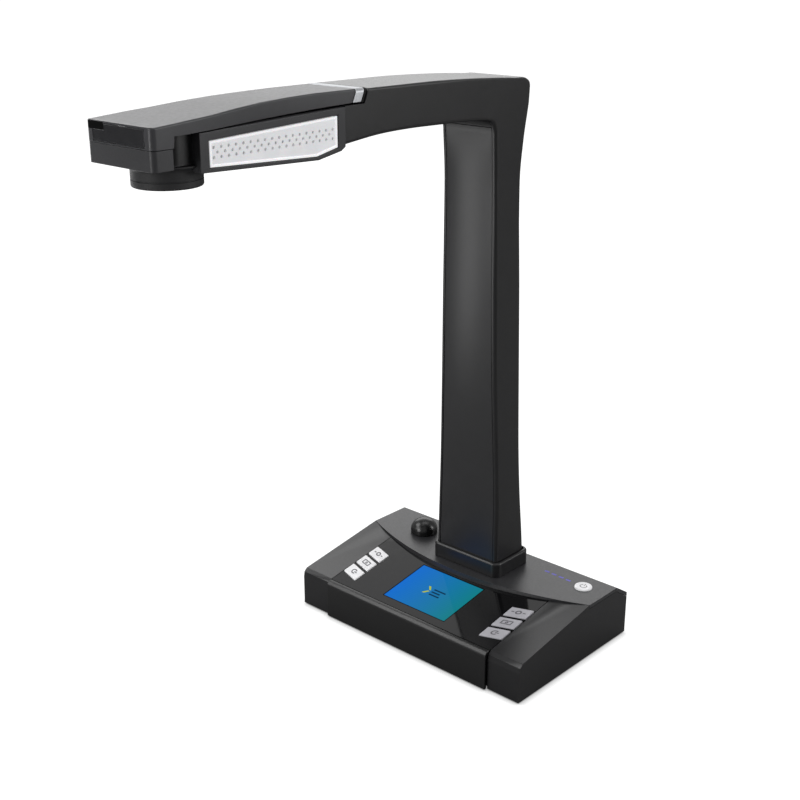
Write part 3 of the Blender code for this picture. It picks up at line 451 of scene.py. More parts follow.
def moulded(tree, place, dark, light, dull, grain_size, depth, ior=1.53):
    """Injection-moulded plastic: its colour drifts in soft clouds 14 mm across and pales on sharp
    edges, and the mould's texture roughens its gloss. Grain size and depth are in millimetres."""
    clouds = add(tree, "TexNoise", {"Scale": 1 / (14 * MM), "Detail": 3.0}, {"Vector": place})
    texture = add(tree, "TexNoise", {"Scale": 1 / (grain_size * MM), "Detail": 2.0}, {"Vector": place})
    edges = add(tree, "NewGeometry")
    pale = add(tree, "MapRange", {"From Min": 0.5, "From Max": 0.62, "To Max": 0.35},
               {"Value": edges.outputs["Pointiness"]})
    share = add(tree, "Math", links={0: clouds.outputs["Fac"], 1: pale.outputs["Result"]},
                operation="ADD", use_clamp=True)
    tint = add(tree, "ValToRGB", links={"Fac": share.outputs["Value"]}, colours=(dark, light))
    rough = add(tree, "MapRange", {"From Min": 0.35, "From Max": 0.65, "To Min": dull[0], "To Max": dull[1]},
                {"Value": texture.outputs["Fac"]})
    bump = add(tree, "Bump", {"Strength": 1.0, "Distance": depth * MM}, {"Height": texture.outputs["Fac"]})
    return add(tree, "BsdfPrincipled", {"IOR": ior},
               {"Base Color": tint.outputs["Color"], "Roughness": rough.outputs["Result"],
                "Normal": bump.outputs["Normal"]})


def metal(tree, place, dark, light, dull, grain_size, depth):
    """Plated or bare metal: its crystals differ a little in tone and dull the gloss between them."""
    cells = add(tree, "TexVoronoi", {"Scale": 1 / (grain_size * MM)}, {"Vector": place})
    tint = add(tree, "ValToRGB", links={"Fac": cells.outputs["Color"]}, colours=(dark, light))
    rough = add(tree, "MapRange", {"To Min": dull[0], "To Max": dull[1]},
                {"Value": cells.outputs["Distance"]})
    bump = add(tree, "Bump", {"Strength": 0.6, "Distance": depth * MM}, {"Height": cells.outputs["Distance"]})
    return add(tree, "BsdfPrincipled", {"Metallic": 1.0},
               {"Base Color": tint.outputs["Color"], "Roughness": rough.outputs["Result"],
                "Normal": bump.outputs["Normal"]})


def solder_mask(tree, place, first, second, track):
    """Circuit board: glass-fibre laminate under glossy lacquer. The copper tracks below it show as
    paler lines, drawn as wide and as far apart as they need to show."""
    tracks = add(tree, "TexBrick", {"Scale": 1 / (9 * MM), "Mortar Size": 0.06, "Color1": linear(first),
                                    "Color2": linear(second), "Mortar": linear(track)},
                 {"Vector": place}, offset=0.37)
    return add(tree, "BsdfPrincipled", {"Roughness": 0.35, "IOR": 1.5, "Coat Weight": 0.3},
               {"Base Color": tracks.outputs["Color"]})


def lit_screen(tree, place):
    """Colour display under cover glass: a blue to teal picture with a black border, and glass gloss."""
    half_x, half_y = SCREEN_HALF_X - SCREEN_BORDER, SCREEN_HALF_Y - SCREEN_BORDER
    axes = add(tree, "SeparateXYZ", links={"Vector": place})
    across = add(tree, "MapRange", {"From Min": -half_x * MM, "From Max": half_x * MM},
                 {"Value": axes.outputs["X"]})
    picture = add(tree, "ValToRGB", links={"Fac": across.outputs["Result"]},
                  colours=("006cd0", "1274b0", "0c7e88"))
    edges = []
    for axis, half in (("X", half_x), ("Y", half_y)):
        size = add(tree, "Math", links={0: axes.outputs[axis]}, operation="ABSOLUTE")
        edges.append(add(tree, "Math", {1: half * MM}, {0: size.outputs["Value"]}, operation="LESS_THAN"))
    inside = add(tree, "Math", links={0: edges[0].outputs["Value"], 1: edges[1].outputs["Value"]},
                 operation="MULTIPLY")
    rows = add(tree, "TexWave", {"Scale": WAVE_PITCH / (DISPLAY_ROW * MM)}, {"Vector": place},
               bands_direction="Y")
    glow = add(tree, "MapRange", {"To Min": 0.94, "To Max": 1.0}, {"Value": rows.outputs["Fac"]})
    lit = add(tree, "Math", links={0: inside.outputs["Value"], 1: glow.outputs["Result"]},
              operation="MULTIPLY")
    emission = add(tree, "Emission", links={"Color": picture.outputs["Color"],
                                            "Strength": lit.outputs["Value"]})
    # the glass is coated against reflections, which a low index stands for
    glass = add(tree, "BsdfPrincipled", {"Base Color": linear("050506"), "Roughness": 0.08, "IOR": 1.12})
    return add(tree, "AddShader", links={0: glass.outputs[0], 1: emission.outputs[0]})


def lens_coating(tree, place):
    """Coated optical glass: nearly black, with the violet and green sheen of its coating and fine
    dust that dulls it in spots 2 mm across."""
    facing = add(tree, "LayerWeight", {"Blend": 0.35})
    sheen = add(tree, "ValToRGB", links={"Fac": facing.outputs["Facing"]}, colours=("1a1030", "123a34"))
    dust = add(tree, "TexNoise", {"Scale": 1 / (2 * MM), "Detail": 2.0}, {"Vector": place})
    rough = add(tree, "MapRange", {"To Min": 0.02, "To Max": 0.06}, {"Value": dust.outputs["Fac"]})
    return add(tree, "BsdfPrincipled", {"IOR": 1.6, "Coat Weight": 1.0, "Coat Roughness": 0.02},
               {"Base Color": sheen.outputs["Color"], "Roughness": rough.outputs["Result"]})


def milky_diffuser(tree, place, dark, light, glow):
    """Opal acrylic in front of the lamp: white with clouds 9 mm across, a little translucent, and lit
    softly from behind."""
    clouds = add(tree, "TexNoise", {"Scale": 1 / (9 * MM), "Detail": 2.0}, {"Vector": place})
    tint = add(tree, "ValToRGB", links={"Fac": clouds.outputs["Fac"]}, colours=(dark, light))
    return add(tree, "BsdfPrincipled", {"Roughness": 0.32, "IOR": 1.49, "Emission Strength": glow,
                                        "Subsurface Weight": 0.15, "Subsurface Scale": 0.6 * MM},
               {"Base Color": tint.outputs["Color"], "Emission Color": tint.outputs["Color"]})


def picture_colour(tree, place, colour):
    """Part of the display's picture: a flat glowing colour with the display's fine rows."""
    rows = add(tree, "TexWave", {"Scale": WAVE_PITCH / (DISPLAY_ROW * MM)}, {"Vector": place},
               bands_direction="Y")
    glow = add(tree, "MapRange", {"To Min": 0.9, "To Max": 1.0}, {"Value": rows.outputs["Fac"]})
    return add(tree, "Emission", {"Color": linear(colour)}, {"Strength": glow.outputs["Result"]})


# A finish's name, how it is drawn, and its settings. The grains of moulded plastic are drawn several
# times coarser than the real 0.1 mm, so that they show.
FINISH_TABLE = {
    # ABS from a spark-eroded mould: black with a fine satin grain that softens the softboxes
    "shell_plastic": ("spark_textured_abs", moulded, "0c0c0d", "131315", (0.31, 0.38), 0.9, 0.015),
    # the same from a flatter, duller mould, and painted darker as shade, which keeps the fascia and the
    # hollows deep black
    "painted_shade_plastic": ("spark_textured_abs_dark", moulded, "020202", "040405", (0.36, 0.42), 0.9, 0.006),
    # bead-blasted ABS of the head: smoother and slightly greyer, with broad, dim highlights
    "head_plastic": ("satin_abs", moulded, "232325", "2d2d30", (0.4, 0.48), 0.9, 0.012),
    # chemically etched ABS of the barrel: matt, with hardly a highlight
    "barrel_plastic": ("matt_black_abs", moulded, "161617", "1f1f21", (0.58, 0.66), 0.9, 0.015),
    # the column's cover: dark grey ABS, a shade lighter than the shell round it
    "front_cover_plastic": ("satin_grey_abs", moulded, "171718", "1e1e20", (0.34, 0.4), 0.9, 0.015),
    # polished acrylic sheet: mirrors the column, with a trace of orange peel
    "deck_plastic": ("polished_black_acrylic", moulded, "050506", "08080a", (0.05, 0.08), 6.0, 0.003, 1.49),
    # textured ABS of the rear panel: an even mid grey sheen
    "rear_panel_plastic": ("semi_gloss_grey_abs", moulded, "202022", "29292b", (0.34, 0.42), 1.1, 0.012),
    # lacquered ABS of the lid: grey, smooth and evenly bright from above
    "lid_plastic": ("semi_gloss_abs", moulded, "2c2c2f", "38383b", (0.38, 0.42), 2.0, 0.002),
    # polished smoked polycarbonate: a darker, glossier field in the nose
    "window_plastic": ("smoked_polycarbonate", moulded, "1a1a1c", "202023", (0.2, 0.26), 5.0, 0.002, 1.58),
    # tinted acrylic over the indicator, coated, so it has a low index and reads as a black slot
    "indicator_lens": ("black_tinted_acrylic", moulded, "010101", "020202", (0.04, 0.08), 2.0, 0.001, 1.35),
    # polished ABS of the knob: black with small, sharp highlights
    "knob_plastic": ("gloss_black_abs", moulded, "060607", "0c0c0d", (0.22, 0.28), 3.0, 0.002),
    # satin ABS keycaps, white and light grey, with an even soft sheen
    "white_key_plastic": ("white_abs", moulded, "dedee0", "ececee", (0.34, 0.42), 0.7, 0.008),
    "grey_key_plastic": ("light_grey_abs", moulded, "9c9ba0", "abaab0", (0.34, 0.42), 0.7, 0.008),
    # glass-filled polyester of the sockets: dull black with a coarse grain
    "socket_shell": ("black_pbt", moulded, "0e0e0f", "161617", (0.45, 0.6), 0.5, 0.02),
    # pressed silicone rubber: flat black without highlights
    "foot_rubber": ("black_silicone_rubber", moulded, "0b0b0b", "141414", (0.7, 0.85), 0.6, 0.03, 1.41),
    # extruded soft vinyl round the wires: dull black
    "cable_jacket": ("black_pvc", moulded, "0d0d0e", "151516", (0.5, 0.6), 1.5, 0.02, 1.54),
    # pad-printed inks: flat, matt colour on the caps and on the rear panel
    "key_ink": ("grey_pad_print_ink", moulded, "4c4b50", "5a595e", (0.5, 0.6), 0.5, 0.002),
    "legend_ink": ("violet_pad_print_ink", moulded, "4a46a8", "5a56b8", (0.5, 0.6), 0.5, 0.002),
    # liquid crystal display behind coated glass: the one saturated colour on the object
    "screen_glass": ("lit_display", lit_screen),
    "picture_yellow": ("picture_yellow", picture_colour, "b4c43c"),
    "picture_navy": ("picture_navy", picture_colour, "143a58"),
    # pressed and plated sheet steel: grey, with a faint mottle
    "display_module": ("pressed_steel_frame", metal, "8a8b8c", "a4a5a6", (0.3, 0.42), 3.0, 0.01),
    # satin chrome plate over ABS: pale grey and softly blurred
    "trim_chrome": ("satin_chrome_plate", metal, "b4b6b9", "c4c6c9", (0.42, 0.5), 1.2, 0.002),
    # zinc plate: bright grey with visible crystals
    "zinc_steel": ("zinc_plated_steel", metal, "9a9c9e", "b8babd", (0.3, 0.5), 2.5, 0.01),
    # green lacquer on the hidden boards, white on the lamps' so that it throws their light forwards
    "circuit_board": ("green_solder_mask", solder_mask, "0c4a26", "0e5a2d", "3f8a4a"),
    "lamp_board": ("white_solder_mask", solder_mask, "c4c5c4", "cccdcc", "dedfde"),
    # opal acrylic: the panel a cool white, its moulded rim paler and glowing more strongly, which is painted
    # light: the lamp's glow gathering at the panel's edge
    "diffuser_plastic": ("opal_acrylic", milky_diffuser, "d4d5d8", "e2e2e4", 0.33),
    "diffuser_rim_painted_glow": ("bright_opal_rim", milky_diffuser, "ececee", "f6f6f8", 0.38),
    # ground and coated glass: a dark, deep eye
    "lens_glass": ("coated_lens_glass", lens_coating),
}
FINISHES = {use: finish(*row) for use, row in FINISH_TABLE.items()}


# ---- base

def end_caps():
    """Side casings with a flat along the front edge, which catches the light as one bright band."""
    for side, _ in SIDES:
        node = f"{side}_end_cap"
        front = span(node)[0].y
        bm = shape_of(node)
        round_edges(bm, CAP_CHAMFER, 1, lambda middle, along: middle.y < front + 2 and middle.z > 20
                    and abs(along.x) > 1, least=8)
        round_edges(bm, EDGE_ROUND, 5, lambda middle, along: middle.z > 5 and middle.y < 45, least=20)
        piece(f"{side}_casing", bm, "shell_plastic", [node], crease=20)


def flat_casings():
    """Casing parts with their own small edge rounds. The fascia's ridge has a flat in its middle, so
    that it shows as a thin line of light."""
    # the fascia takes the darkened copy of the shell plastic, which is painted shade
    for node, use, radius in (("front_fascia", "painted_shade_plastic", 0.4), ("deck_plate", "deck_plastic", 0.25),
                              ("rear_deck_panel", "rear_panel_plastic", 0.35),
                              ("rear_cover", "shell_plastic", 0.4), ("base_tray", "shell_plastic", 0.4)):
        bm = shape_of(node)
        front = span(node)[0].y
        ridge = [v for v in bm.verts if 0.6 < v.co.y - front < 1.4 and v.co.z > 27]
        for vertex in ridge if node == "front_fascia" else ():
            vertex.co.z -= RIDGE_FLAT
        round_edges(bm, radius, 5, lambda middle, along: middle.z > 2, least=30)
        piece(f"{node}_shape", bm, use, [node], slot=frame_slot(node), crease=20)


def frame_slot(node):
    """The material slot that the record gives a node."""
    return next(row["material_slot"] for row in frame["record"]["subparts"] if row["node"] == node)


def panel_seals():
    """Thin black seals that keep light out of the joint between the rear panel and the end caps."""
    shelf, back = REAR_TOP - REAR_PLATE, BASE_BACK - 0.05
    fall = (shelf - GAP - REAR_COVER_TOP) / (BASE_BACK - CHAMFER_START) * (back - CHAMFER_START)
    low = shelf - SEAL_LOW
    outline = [(SEAL_FRONT, low), (CHAMFER_START + 0.05, low), (back, low - fall), (back, shelf + 0.1 - fall),
               (CHAMFER_START + 0.1, shelf - 0.04), (SEAL_FRONT, shelf - 0.08)]
    for side, sign in SIDES:
        bm = prism(outline, "X", *sorted((sign * SEAL_REACH[0], sign * SEAL_REACH[1])))
        piece(f"{side}_panel_seal", bm, "foot_rubber", slot="shell_plastic")


def feet():
    """Round feet with a soft rim and a shallow hollow under each."""
    for node in ("front_left_foot", "front_right_foot", "rear_left_foot", "rear_right_foot"):
        low, high = span(node)
        centre, radius, top = (low + high) / 2, (high.x - low.x) / 2, high.z
        profile = [(0, FOOT_HOLLOW), (FOOT_DIMPLE - FOOT_HOLLOW, FOOT_HOLLOW), (FOOT_DIMPLE, 0.0)]
        profile += arc_points((radius - FOOT_ROUND, FOOT_ROUND), FOOT_ROUND, -90, 0, 5)
        profile += [(radius, top), (0, top)]
        piece(f"rubber_{node}", turned(profile, 64, centre.xy), "foot_rubber", [node])


def screen():
    """Cover glass flush with the deck. Its finish shows the picture, with a plain mark in the middle."""
    place = on_deck(SCREEN_MIDDLE)
    face = -GLASS_SUNK
    bm = block((-SCREEN_HALF_X, -SCREEN_HALF_Y, face - GLASS_THICK), (SCREEN_HALF_X, SCREEN_HALF_Y, face))
    round_edges(bm, 0.15, 2)
    piece("cover_glass", bm, "screen_glass", ["screen_glass"], **place)
    thick = (face, face + INK_THICK)
    lower = [(x, -y) for x, y in reversed(CHEVRON)]
    piece("screen_chevron", joined(prism(CHEVRON, "Z", *thick), prism(lower, "Z", *thick)), "picture_yellow",
          slot="screen_glass", **place)
    left, right = MENU_REACH
    lines = [block((left, y - MENU_HALF, thick[0]), (right - shorter, y + MENU_HALF, thick[1]))
             for y, shorter in MENU_LINES]
    piece("screen_menu_lines", joined(*lines), "picture_navy", slot="screen_glass", **place)


def key_outline(sign):
    """Slanted key face on the slope, its inner end nearer the front."""
    half = KEY_DEPTH / 2
    drop = (KEY_OUTER - KEY_INNER) * math.tan(KEY_SLANT)
    return [(sign * KEY_OUTER, half), (sign * KEY_OUTER, -half), (sign * KEY_INNER, -half - drop),
            (sign * KEY_INNER, half - drop)]


def ring_mark(radius, wide, start=0.0, end=360.0):
    """Flat printed ring or part of one."""
    steps = max(8, round((end - start) / 9))
    outer = arc_points((0, 0), radius, start, end, steps)
    inner = arc_points((0, 0), radius - wide, start, end, steps)
    rows = list(zip(outer, inner))
    whole = end - start >= 360
    if whole:
        rows = rows[:-1]
    rings = [[(*a, 0.0), (*b, 0.0), (*b, INK_THICK), (*a, INK_THICK)] for a, b in rows]
    return loft(rings, closed=whole)


def bar_mark(left, low, right, high):
    """Flat printed bar."""
    return block((left, low, 0.0), (right, high, INK_THICK))


def key_symbol(number):
    """Plain pictograms: a ring between two dashes, a frame round a dot, and an open ring with a hand."""
    if number == 0:
        dash = 0.5
        return joined(ring_mark(2.2, 1.1), bar_mark(-5.0, -dash, -3.0, dash), bar_mark(3.0, -dash, 5.0, dash))
    if number == 1:
        wide, tall, bar = 3.8, 2.3, 0.9
        return joined(bar_mark(-wide, -tall, bar - wide, tall), bar_mark(wide - bar, -tall, wide, tall),
                      bar_mark(bar - wide, tall - bar, wide - bar, tall),
                      bar_mark(bar - wide, -tall, wide - bar, bar - tall), ring_mark(1.1, 0.8))
    return joined(ring_mark(2.5, 1.0, 40, 320), bar_mark(0.2, -0.45, 3.0, 0.45))


def keys():
    """Keycaps with soft edges, each with its printed sign."""
    slant = -math.tan(KEY_SLANT)
    low = (KEY_OUTER - KEY_INNER) / 2 * slant
    for side, sign in SIDES:
        use = {"left": "white_key_plastic", "right": "grey_key_plastic"}[side]
        middle = sign * (KEY_INNER + KEY_OUTER) / 2
        lean = Matrix(((1, 0, 0, middle), (-sign * slant * SIGN_LEAN, 1, 0, low), (0, 0, 1, KEY_TOP),
                       (0, 0, 0, 1)))
        for number in range(3):
            name = f"{side}_key_{number + 1}"
            place = on_deck(KEY_REAR - number * KEY_PITCH)
            bm = prism(key_outline(sign), "Z", KEY_UNDER, KEY_TOP)
            round_edges(bm, 0.7, 4, least=30)
            piece(f"{name}_cap", bm, use, [name], body=name, **place)
            mark = key_symbol(number)
            mark.transform(lean)
            piece(f"{name}_sign", mark, "key_ink", slot=use, body=name, **place)


def power_button():
    """Turned cap with a soft shoulder, a shallow dish and an on/off sign, and plain dashes beside it."""
    low, high = span("power_button")
    centre = (low + high) / 2
    top, shoulder = high.z, BUTTON_RADIUS - BUTTON_ROUND
    rim = shoulder - BUTTON_RIM
    profile = [(0, low.z), (BUTTON_RADIUS, low.z)]
    profile += arc_points((shoulder, top - BUTTON_ROUND), BUTTON_ROUND, 0, 90, 6)
    profile += [(rim, top), (rim - 2 * BUTTON_DISH, top - BUTTON_DISH), (0, top - BUTTON_DISH)]
    piece("power_button_cap", turned(profile, 96), "white_key_plastic", ["power_button"], body="power_button",
          at=(centre.x, centre.y, 0))
    sign = joined(ring_mark(2.6, 0.55, 125, 415), bar_mark(-0.28, 0.6, 0.28, 3.2))
    piece("power_sign", sign, "key_ink", slot="white_key_plastic", body="power_button",
          at=(centre.x, centre.y, top - BUTTON_DISH))
    dashes = []
    for number in range(4):
        x, y = (start + number * step for start, step in zip(DASH_START, DASH_STEP))
        dashes.append(bar_mark(x, y, x + DASH_SIZE[0], y + DASH_SIZE[1]))
    piece("panel_dashes", joined(*dashes), "legend_ink", slot="rear_panel_plastic",
          at=(0, 0, span("rear_deck_panel")[1].z))


def brightness_knob():
    """Glossy dome on a straight skirt, hollow round the potentiometer's shaft."""
    low, high = span("brightness_knob")
    shaft = span("potentiometer_shaft")[1]
    centre = (low + high) / 2
    radius, crown, skirt = (high.x - low.x) / 2, high.z, low.z + KNOB_SKIRT
    bore, bore_top, soft = shaft.x - centre.x + GAP, shaft.z + 0.4, 0.4
    profile = [(0, bore_top), (bore, bore_top), (bore, low.z), (radius - soft, low.z)]
    profile += arc_points((radius - soft, low.z + soft), soft, -90, 0, 4)
    profile += [(radius * math.cos(a), skirt + (crown - skirt) * math.sin(a))
                for a in [math.radians(d) for d in spread(0, 86, 24)]]
    profile += [(0, crown)]
    piece("knob_dome", turned(profile, 96), "knob_plastic", ["brightness_knob"], body="knob",
          at=(centre.x, centre.y, 0))


def sockets():
    """Socket bodies with the small rounds of moulded shells."""
    for node in ("usb_socket", "dc_inlet"):
        piece(f"{node}_body", round_edges(shape_of(node), 0.25, 2, least=60), "socket_shell", [node])


# ---- column and arm

def sections(first, last, outline):
    """Rings of an outline along the column and arm, on smooth lines from one station to another."""
    rings = []
    rows = smooth_rows(STATIONS, STATION_STEPS)
    for outer_y, outer_z, inner_y, inner_z, half in rows[first * STATION_STEPS:last * STATION_STEPS + 1]:
        outer, inner = Vector((outer_y, outer_z)), Vector((inner_y, inner_z))
        depth = (outer - inner).length
        along = (outer - inner) / depth
        rings.append([(x, *(inner + along * v)) for x, v in outline(half, depth, inner_z)])
    return rings


def shell_outline(half, depth, height):
    """C-shaped section, open towards the inner side, with a short lip on each edge."""
    right = [(half - LIP, 0.0)]
    right += arc_points((half - FRONT_ROUND, FRONT_ROUND), FRONT_ROUND, -90, 0, 8)
    part = min(max((height - BEND_START) / BEND_FADE, 0.0), 1.0)
    back = BACK_ROUND + (TOP_ROUND - BACK_ROUND) * part
    right += arc_points((half - back, depth - back), back, 0, 90, 8)
    inside = [(half - LIP, WALL), (half - WALL, WALL + 0.7), (half - WALL, depth - BACK_ROUND),
              (half - BACK_ROUND, depth - WALL)]
    left = [(-x, v) for x, v in reversed(right)]
    return right + left + [(-x, v) for x, v in inside] + list(reversed(inside))


def front_outline(half, depth, height):
    """Section of the front cover: gently crowned, with rolled edges, and flat at both its ends."""
    edge = half - LIP - GAP
    rise = min(max((height - CROWN_FADE[0]) / (CROWN_FADE[1] - CROWN_FADE[0]), 0.0), 1.0)
    fall = min(max((BEND_START - height) / CROWN_END, 0.0), 1.0)
    bulge = CROWN * rise * rise * (3 - 2 * rise) * fall
    front = [(edge, 0.5), (edge - 0.15, 0.15)]
    front += [((edge - 0.5) * t, -bulge * (1 - t * t)) for t in spread(1, -1, 25)]
    front += [(-edge + 0.15, 0.15), (-edge, 0.5)]
    return front + [(-edge, COVER_THICK), (edge, COVER_THICK)]


def flat_outline(half, depth, height):
    """Section of the flat cover under the arm."""
    edge = half - LIP - GAP
    return [(edge, 0.0), (edge, COVER_THICK), (-edge, COVER_THICK), (-edge, 0.0)]


def ring_plane(z, forward=0.0):
    """Y of the trim ring's leaning rear plane, or of one parallel to it."""
    return RING_REAR - (RING_TOP - z) * RING_LEAN - forward


def column_and_arm():
    """One smooth L-shaped moulding, its crowned front cover and the cover under the arm."""
    last = len(STATIONS) - 1
    shell = loft(sections(0, last, shell_outline))
    above, ahead = RING_TOP + CUT_PAST, STATIONS[-1][0] - CUT_PAST
    notch = [(ring_plane(above) + SEAM, above), (ring_plane(NECK_TOP) + SEAM, NECK_TOP), (ahead, NECK_TOP),
             (ahead, above)]
    shell = carve(shell, prism(notch, "X", -CUT_HALF, CUT_HALF))
    round_edges(shell, 0.5, 3, lambda middle, along: middle.z > NECK_TOP + 1 and middle.y < RING_REAR + 8
                and middle.y > ring_plane(middle.z) - 1, least=40)
    piece("l_shaped_shell", shell, "shell_plastic", ["arm_column_shell"])
    piece("crowned_front_cover", loft(sections(0, CORNER_STATION, front_outline)), "front_cover_plastic",
          ["column_front_cover"])
    underside = sections(CORNER_STATION, last, flat_outline)[1:]
    piece("arm_underside_cover", loft(underside), "shell_plastic", ["arm_lower_cover"])


def collar():
    """Collar round the column's foot, its top edge rounded so that it draws a thin line of light."""
    low, high = span("column_collar")
    centre = (low + high) / 2
    half_x, half_y = (high - low).x / 2 - COLLAR_OUT, (high - low).y / 2 - COLLAR_OUT
    bend, bore, bore_corner = COLLAR_ROUND, 0.4, 3.4
    levels = [(COLLAR_OUT, low.z, COLLAR_CORNER), (COLLAR_OUT, high.z - bend, COLLAR_CORNER)]
    levels += [(COLLAR_OUT - bend + x, high.z - bend + v, COLLAR_CORNER - bend + x)
               for x, v in arc_points((0, 0), bend, 15, 90, 5)]
    levels += [(bore, high.z, bore_corner), (bore, low.z, bore_corner)]
    rings = []
    for out, z, radius in levels:
        line = rounded_rectangle(half_x + out, half_y + out, radius, (centre.x, centre.y), 10)
        rings.append([(*point, z) for point in line])
    piece("rounded_collar", loft(rings, closed=True), "shell_plastic", ["column_collar"])


# ---- head

def trim_ring():
    """Bright plated band across the head's rear end, its edges softened, and the dark gasket behind it."""
    low, high = span("trim_ring")
    half = high.x
    centre = (half - RING_ROUND, high.z - RING_ROUND)
    side = [(half, low.z)] + arc_points(centre, RING_ROUND, 0, 90, 10)
    inside = [(half - RING_THICK, low.z)] + arc_points(centre, RING_ROUND - RING_THICK, 0, 90, 10)
    outline = side + [(-x, z) for x, z in reversed(side)]
    outline += [(-x, z) for x, z in inside] + list(reversed(inside))
    bm = loft([[(x, ring_plane(z, forward), z) for x, z in outline] for forward in (0, RING_WIDTH)])
    piece("plated_band", round_edges(bm, 0.3, 3, least=60), "trim_chrome", ["trim_ring"])
    gasket = [(x * 1.01, z - 0.15) for x, z in outline]
    bm = loft([[(x, ring_plane(z, -back), z) for x, z in gasket] for back in (0.25, SEAM - 0.25)])
    piece("band_gasket", bm, "foot_rubber", slot="shell_plastic")


def head():
    """Lid with the indicator's dark slot, lower housing, and the smoked window in the nose."""
    for node, use, radius in (("head_top_cover", "lid_plastic", 0.35),
                              ("head_lower_housing", "head_plastic", 0.5),
                              ("front_window", "window_plastic", 0.2)):
        bm = shape_of(node)
        if node == "head_top_cover":
            bm = carve(bm, block((SLOT_LEFT - GAP, NOSE_FRONT - 5, SLOT_LOW),
                                 (SLOT_RIGHT + GAP, NOSE_FRONT + 1.6, SLOT_HIGH + GAP)))
        bm = round_edges(bm, radius, 3, least=50)
        piece(f"{node}_shape", bm, use, [node], slot=frame_slot(node))
    bm = block((SLOT_LEFT, NOSE_FRONT + 0.4, SLOT_LOW + GAP), (SLOT_RIGHT, NOSE_FRONT + 1.4, SLOT_HIGH))
    piece("indicator_slot", round_edges(bm, 0.2, 3), "indicator_lens", ["indicator_lens"])


def scallop_shade_sheets():
    """Black sheets of painted shade in the hollows behind the nose: they stand for the deep shadow there."""
    wide = HEAD_HALF - 0.1
    for side, sign in SIDES:
        line = []
        for turn in [math.radians(angle) for angle in spread(12, 90, 14)]:
            line.append((wide - (wide - CORE_HALF) * math.sin(turn),
                         NOSE_BACK - 0.6 + SCALLOP_DEEP * (1 - math.cos(turn))))
        line.append((CORE_HALF, SHADE_SHEET_END))
        outer = [(sign * (x + SHADE_SHEET), y + SHADE_SHEET) for x, y in line]
        inner = [(sign * (x + 0.06), y + 0.06) for x, y in line]
        piece(f"{side}_scallop_shade_sheet", prism(outer + inner[::-1], "Z", *SHADE_SHEET_SPAN), "painted_shade_plastic",
              slot="shell_plastic")


def lamp_face(y):
    """Outer face of a light housing, a little nearer the middle towards the arm."""
    return LAMP_OUT - LAMP_TAPER * (y - LAMP_FRONT) / LAMP_LONG


def inset_window(amount):
    """The lamp window's outline moved inwards along its corners' bisectors."""
    corners = [Vector(point) for point in LAMP_WINDOW]
    found = []
    for i, corner in enumerate(corners):
        before = (corner - corners[i - 1]).normalized()
        after = (corners[(i + 1) % len(corners)] - corner).normalized()
        square = Vector((before.y, -before.x))
        inward = (square + Vector((after.y, -after.x))).normalized()
        found.append(corner + inward * amount / max(inward.dot(square), 0.3))
    return found


def lights():
    """Dark frames, each with a rim, painted brighter for the lamp's glow at the panel's edge, round a sunk,
    perforated opal panel.
    """
    for side, sign in SIDES:
        panel_node = f"{side}_light_panel"
        bm = round_edges(shape_of(f"{side}_light_housing"), 0.35, 3, least=40)
        piece(f"{side}_lamp_frame", bm, "head_plastic", [f"{side}_light_housing"], slot="shell_plastic")
        rings = [[(sign * (lamp_face(y) - depth), y, z) for y, z in inset_window(inset)]
                 for inset, depth in RIM_SECTION]
        # the rim's paler colour and stronger glow are painted light, the lamp's glow at the panel's edge
        piece(f"{side}_panel_rim", loft(rings, closed=True), "diffuser_rim_painted_glow", [panel_node],
              slot="diffuser_plastic")
        field = inset_window(PANEL_INSET)
        panel = loft([[(sign * (lamp_face(y) - depth), y, z) for y, z in field] for depth in PANEL_SPAN])
        holes = []
        for row, z in enumerate(HOLE_ROWS):
            for number in range(HOLE_COUNT - row % 2):
                y = HOLE_START + HOLE_PITCH * (number + (row % 2) / 2)
                circle = arc_points((y, z), HOLE_RADIUS, 0, 330, 11)
                ends = sorted(sign * (lamp_face(y) + reach) for reach in (-3, 3))
                holes.append(prism(circle, "X", *ends))
        piece(f"{side}_perforated_panel", carve(panel, joined(*holes)), "diffuser_plastic", [panel_node],
              crease=30)


def barrel():
    """Barrel that flares out under the nose, with a fine groove that draws a dark line round it."""
    low, high = span("lens_barrel")
    radius, bottom, top = BARREL_RADIUS, low.z, high.z
    deep, groove_low, groove_high = GROOVE
    soft = 0.9
    profile = [(radius + BARREL_FLARE, top)]
    profile += [(radius + BARREL_FLARE * (1 - t) ** 2, top - 0.5 - FLARE_TALL * t) for t in spread(0, 1, 8)]
    profile += [(radius, bottom + groove_high), (radius - deep, bottom + groove_high - 0.2),
                (radius - deep, bottom + groove_low + 0.2), (radius, bottom + groove_low)]
    profile += arc_points((radius - soft, bottom + soft), soft, 0, -90, 5)
    profile += [(BARREL_MOUTH, bottom), (BARREL_BORE, bottom + 1.2), (BARREL_BORE, top)]
    bm = turned(profile, 96, (0, LENS_Y))
    for sign in (-1, 1):
        x = sorted((sign * (CORE_HALF + 0.1), sign * (CORE_HALF + CUT_PAST)))
        bm = carve(bm, block((x[0], LAMP_FRONT - 0.4, bottom + 5.5), (x[1], LENS_Y + 40, top + CUT_PAST)))
    piece("flared_barrel", bm, "barrel_plastic", ["lens_barrel"], slot="shell_plastic")


